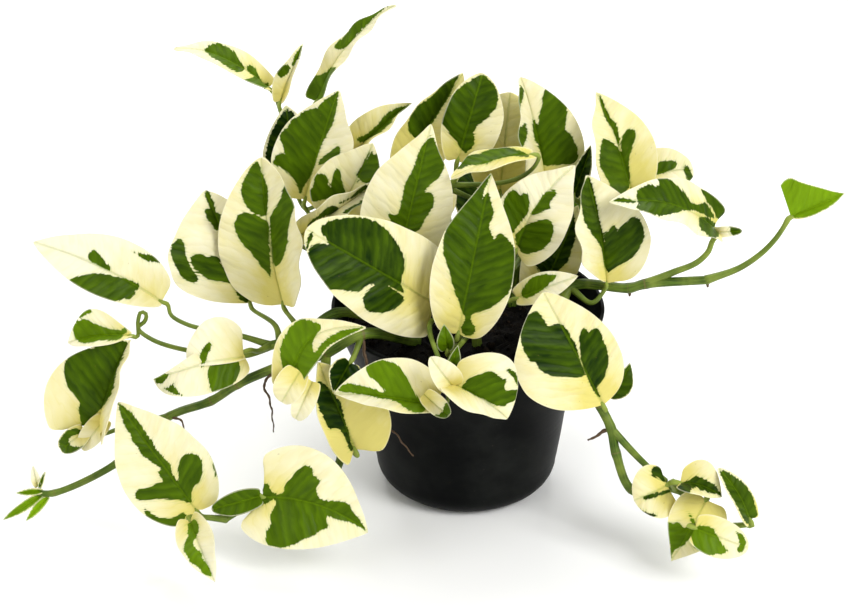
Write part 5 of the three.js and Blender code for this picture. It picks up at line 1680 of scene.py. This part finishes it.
@dataclass
class Soil:
    """The potting mix: a rough, slightly domed surface with loose crumbs and bits of bark."""

    finish: SoilFinish = field(default_factory=SoilFinish)
    edge_radius: float = 58.4
    rings: int = 34
    sides: int = 96
    cup: tuple[Pair, ...] = ((54.2, 72.0), (49.4, 58.0), (46.2, 42.0), (44.2, 27.0), (42.0, 14.0),
                             (30.0, 3.6))
    bottom: float = 3.4
    edge_drop: float = 0.4
    waves: int = 26
    lumps: float = 1.1
    roughness: float = 0.25
    crumbs: int = 420
    seed: int = 4

    def height(self, r: Any) -> Any:
        """The height of the smooth dome at a distance from the axis."""
        return SOIL_TOP + SOIL_MOUND * (1 - (r / self.edge_radius) ** 2)

    def build(self) -> None:
        """Makes the soil."""
        piece = PieceMesh("fine_soil")
        luck = np.random.default_rng(self.seed)
        angle = corner_angles(self.sides)
        r, a = np.meshgrid(np.linspace(1.0, self.edge_radius, self.rings), angle, indexing="ij")
        x, y = r * np.cos(a), r * np.sin(a)
        waves = zip(*(luck.uniform(low, high, self.waves) for low, high in ((0.12, 1.6), (0, 6), (0, 6))))
        lumps = sum(np.sin(x * f + p) * np.cos(y * f * 1.13 + q) / (1 + f * 3) for f, p, q in waves)
        z = self.height(r) + self.lumps * lumps + luck.normal(0, self.roughness, r.shape)
        z[-1] = SOIL_TOP - self.edge_drop
        cup = [np.stack([k * np.cos(angle), k * np.sin(angle), np.full(self.sides, h)], axis=1)
               for k, h in self.cup]
        ends = [[0, 0, SOIL_TOP + SOIL_MOUND], [0, 0, self.bottom]]
        points = np.concatenate([np.stack([x, y, z], axis=-1).reshape(-1, 3), *cup, ends])
        faces = pointed_rings(self.rings + len(self.cup), self.sides, inward=True)
        piece.add(points, faces, crumb_tone=np.zeros((len(points), 3)))
        self.add_crumbs(piece, luck)
        piece.build(self.finish.material(), Slot.SOIL, "soil", sharp=35)

    def add_crumbs(self, piece: PieceMesh, luck: np.random.Generator) -> None:
        """Scatters crumbs and bits of bark, each a dented icosahedron, over the surface.

        Args:
            piece: The piece.
            luck: The source of chance.
        """
        golden = (1 + 5 ** 0.5) / 2
        corners = np.array([(-1, golden, 0), (1, golden, 0), (-1, -golden, 0), (1, -golden, 0),
                            (0, -1, golden), (0, 1, golden), (0, -1, -golden), (0, 1, -golden),
                            (golden, 0, -1), (golden, 0, 1), (-golden, 0, -1), (-golden, 0, 1)])
        faces = [(0, 11, 5), (0, 5, 1), (0, 1, 7), (0, 7, 10), (0, 10, 11), (1, 5, 9), (5, 11, 4),
                 (11, 10, 2), (10, 7, 6), (7, 1, 8), (3, 9, 4), (3, 4, 2), (3, 2, 6), (3, 6, 8), (3, 8, 9),
                 (4, 9, 5), (2, 4, 11), (6, 2, 10), (8, 6, 7), (9, 8, 1)]
        for _ in range(self.crumbs):
            r, a = self.edge_radius * 0.97 * math.sqrt(luck.uniform()), luck.uniform(0, 2 * math.pi)
            size = luck.uniform(0.5, 1.9) * np.array([1.0, luck.uniform(0.5, 1.0), luck.uniform(0.3, 0.8)])
            shape = corners * (1 + luck.uniform(-0.25, 0.25, (12, 1))) / golden * size
            turn, _ = np.linalg.qr(luck.normal(size=(3, 3)))
            centre = np.array([r * math.cos(a), r * math.sin(a), self.height(r) + luck.uniform(0.0, 0.9)])
            keep = 1.0 if np.linalg.det(turn) > 0 else -1.0
            tone = np.tile([luck.uniform(0, 1) ** 2, 0.0, 0.0], (12, 1))
            piece.add(shape @ turn.T * keep + centre, faces, crumb_tone=tone)


# Studio


def set_axes(thing: bpy.types.Object, x: Any, y: Any, z: Any, where: Any) -> None:
    """Points an object's axes along x, y and z, and puts it at a place in metres."""
    rows = np.stack([x, y, z, where], axis=1).tolist()
    thing.matrix_world = Matrix([*rows, (0, 0, 0, 1)])


@dataclass
class Studio:
    """The plain floor, the soft lights and the camera."""

    floor_colour: Colour = (0.95, 0.95, 0.94)
    floor_cloud: Colour = (0.97, 0.97, 0.96)
    floor_size: float = 6.0
    sky_strength: float = 0.5
    middle: Place = (-0.02, 0.0, 0.09)

    def build_floor(self) -> None:
        """Lays the pale floor."""
        half = self.floor_size / 2
        corners = [(-half, -half, 0), (half, -half, 0), (half, half, 0), (-half, half, 0)]
        mesh = bpy.data.meshes.new("floor")
        mesh.from_pydata(corners, [], [(0, 1, 2, 3)])
        wires = MaterialWiring("pale_floor")
        colour = wires.mix(wires.noise(wires.place(), 3.0), self.floor_colour, self.floor_cloud)
        mesh.materials.append(wires.dress({"Base Color": colour, "Roughness": 0.9}))
        placed("floor", mesh)

    def add_light(self, name: str, where: Place, size: float, power: float) -> None:
        """Hangs a soft square light that looks at the plant.

        Args:
            name: Its name.
            where: Its place, in metres.
            size: Its side, in metres.
            power: Its power, in watts.
        """
        data = bpy.data.lights.new(name, "AREA")
        data.size, data.energy = size, power
        z = np.array(where) - self.middle
        z /= np.linalg.norm(z)
        x = np.cross([0.0, 0.0, 1.0], z)
        x /= np.linalg.norm(x)
        set_axes(placed(name, data), x, np.cross(z, x), z, where)

    def build_lights(self) -> None:
        """Sets the sky and the lights, stronger from the right."""
        world = bpy.data.worlds.new("studio")
        world.use_nodes = True
        background = world.node_tree.nodes["Background"]
        background.inputs[0].default_value = (1, 1, 1, 1)
        background.inputs[1].default_value = self.sky_strength
        bpy.context.scene.world = world
        bpy.context.scene.view_settings.view_transform = "Standard"
        self.add_light("key_right", (0.75, -0.75, 0.85), 0.6, 13.0)
        self.add_light("fill_left", (-0.9, -0.6, 0.6), 0.8, 4.5)
        self.add_light("top_back", (-0.1, 0.8, 1.1), 0.9, 14.0)

    def build_camera(self) -> None:
        """Places the camera at the shared eye."""
        data = bpy.data.cameras.new("camera")
        data.sensor_fit, data.sensor_width = "HORIZONTAL", VIEW.sensor
        data.lens = VIEW.sensor * VIEW.distance * VIEW.px_per_mm / VIEW.width_px
        data.clip_start, data.clip_end = 0.05, 20.0
        camera = placed("camera", data)
        set_axes(camera, (1, 0, 0), VIEW.up, VIEW.toward_eye, VIEW.eye * METRE)
        bpy.context.scene.camera = camera

    def build(self) -> None:
        """Makes the whole studio."""
        self.build_floor()
        self.build_lights()
        self.build_camera()


def main() -> None:
    """Builds the plant, its pot and the studio in order."""
    logging.basicConfig(level=logging.INFO, format="%(name)s %(message)s")
    for leftover in list(bpy.data.objects):
        bpy.data.objects.remove(leftover)
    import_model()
    Studio().build()
    Pot().build()
    Soil().build()
    Vines().build()
    foliage = Foliage()
    foliage.build()
    for stem in STEMS:
        foliage.build_part_of(stem)


if __name__ == "__main__":
    main()
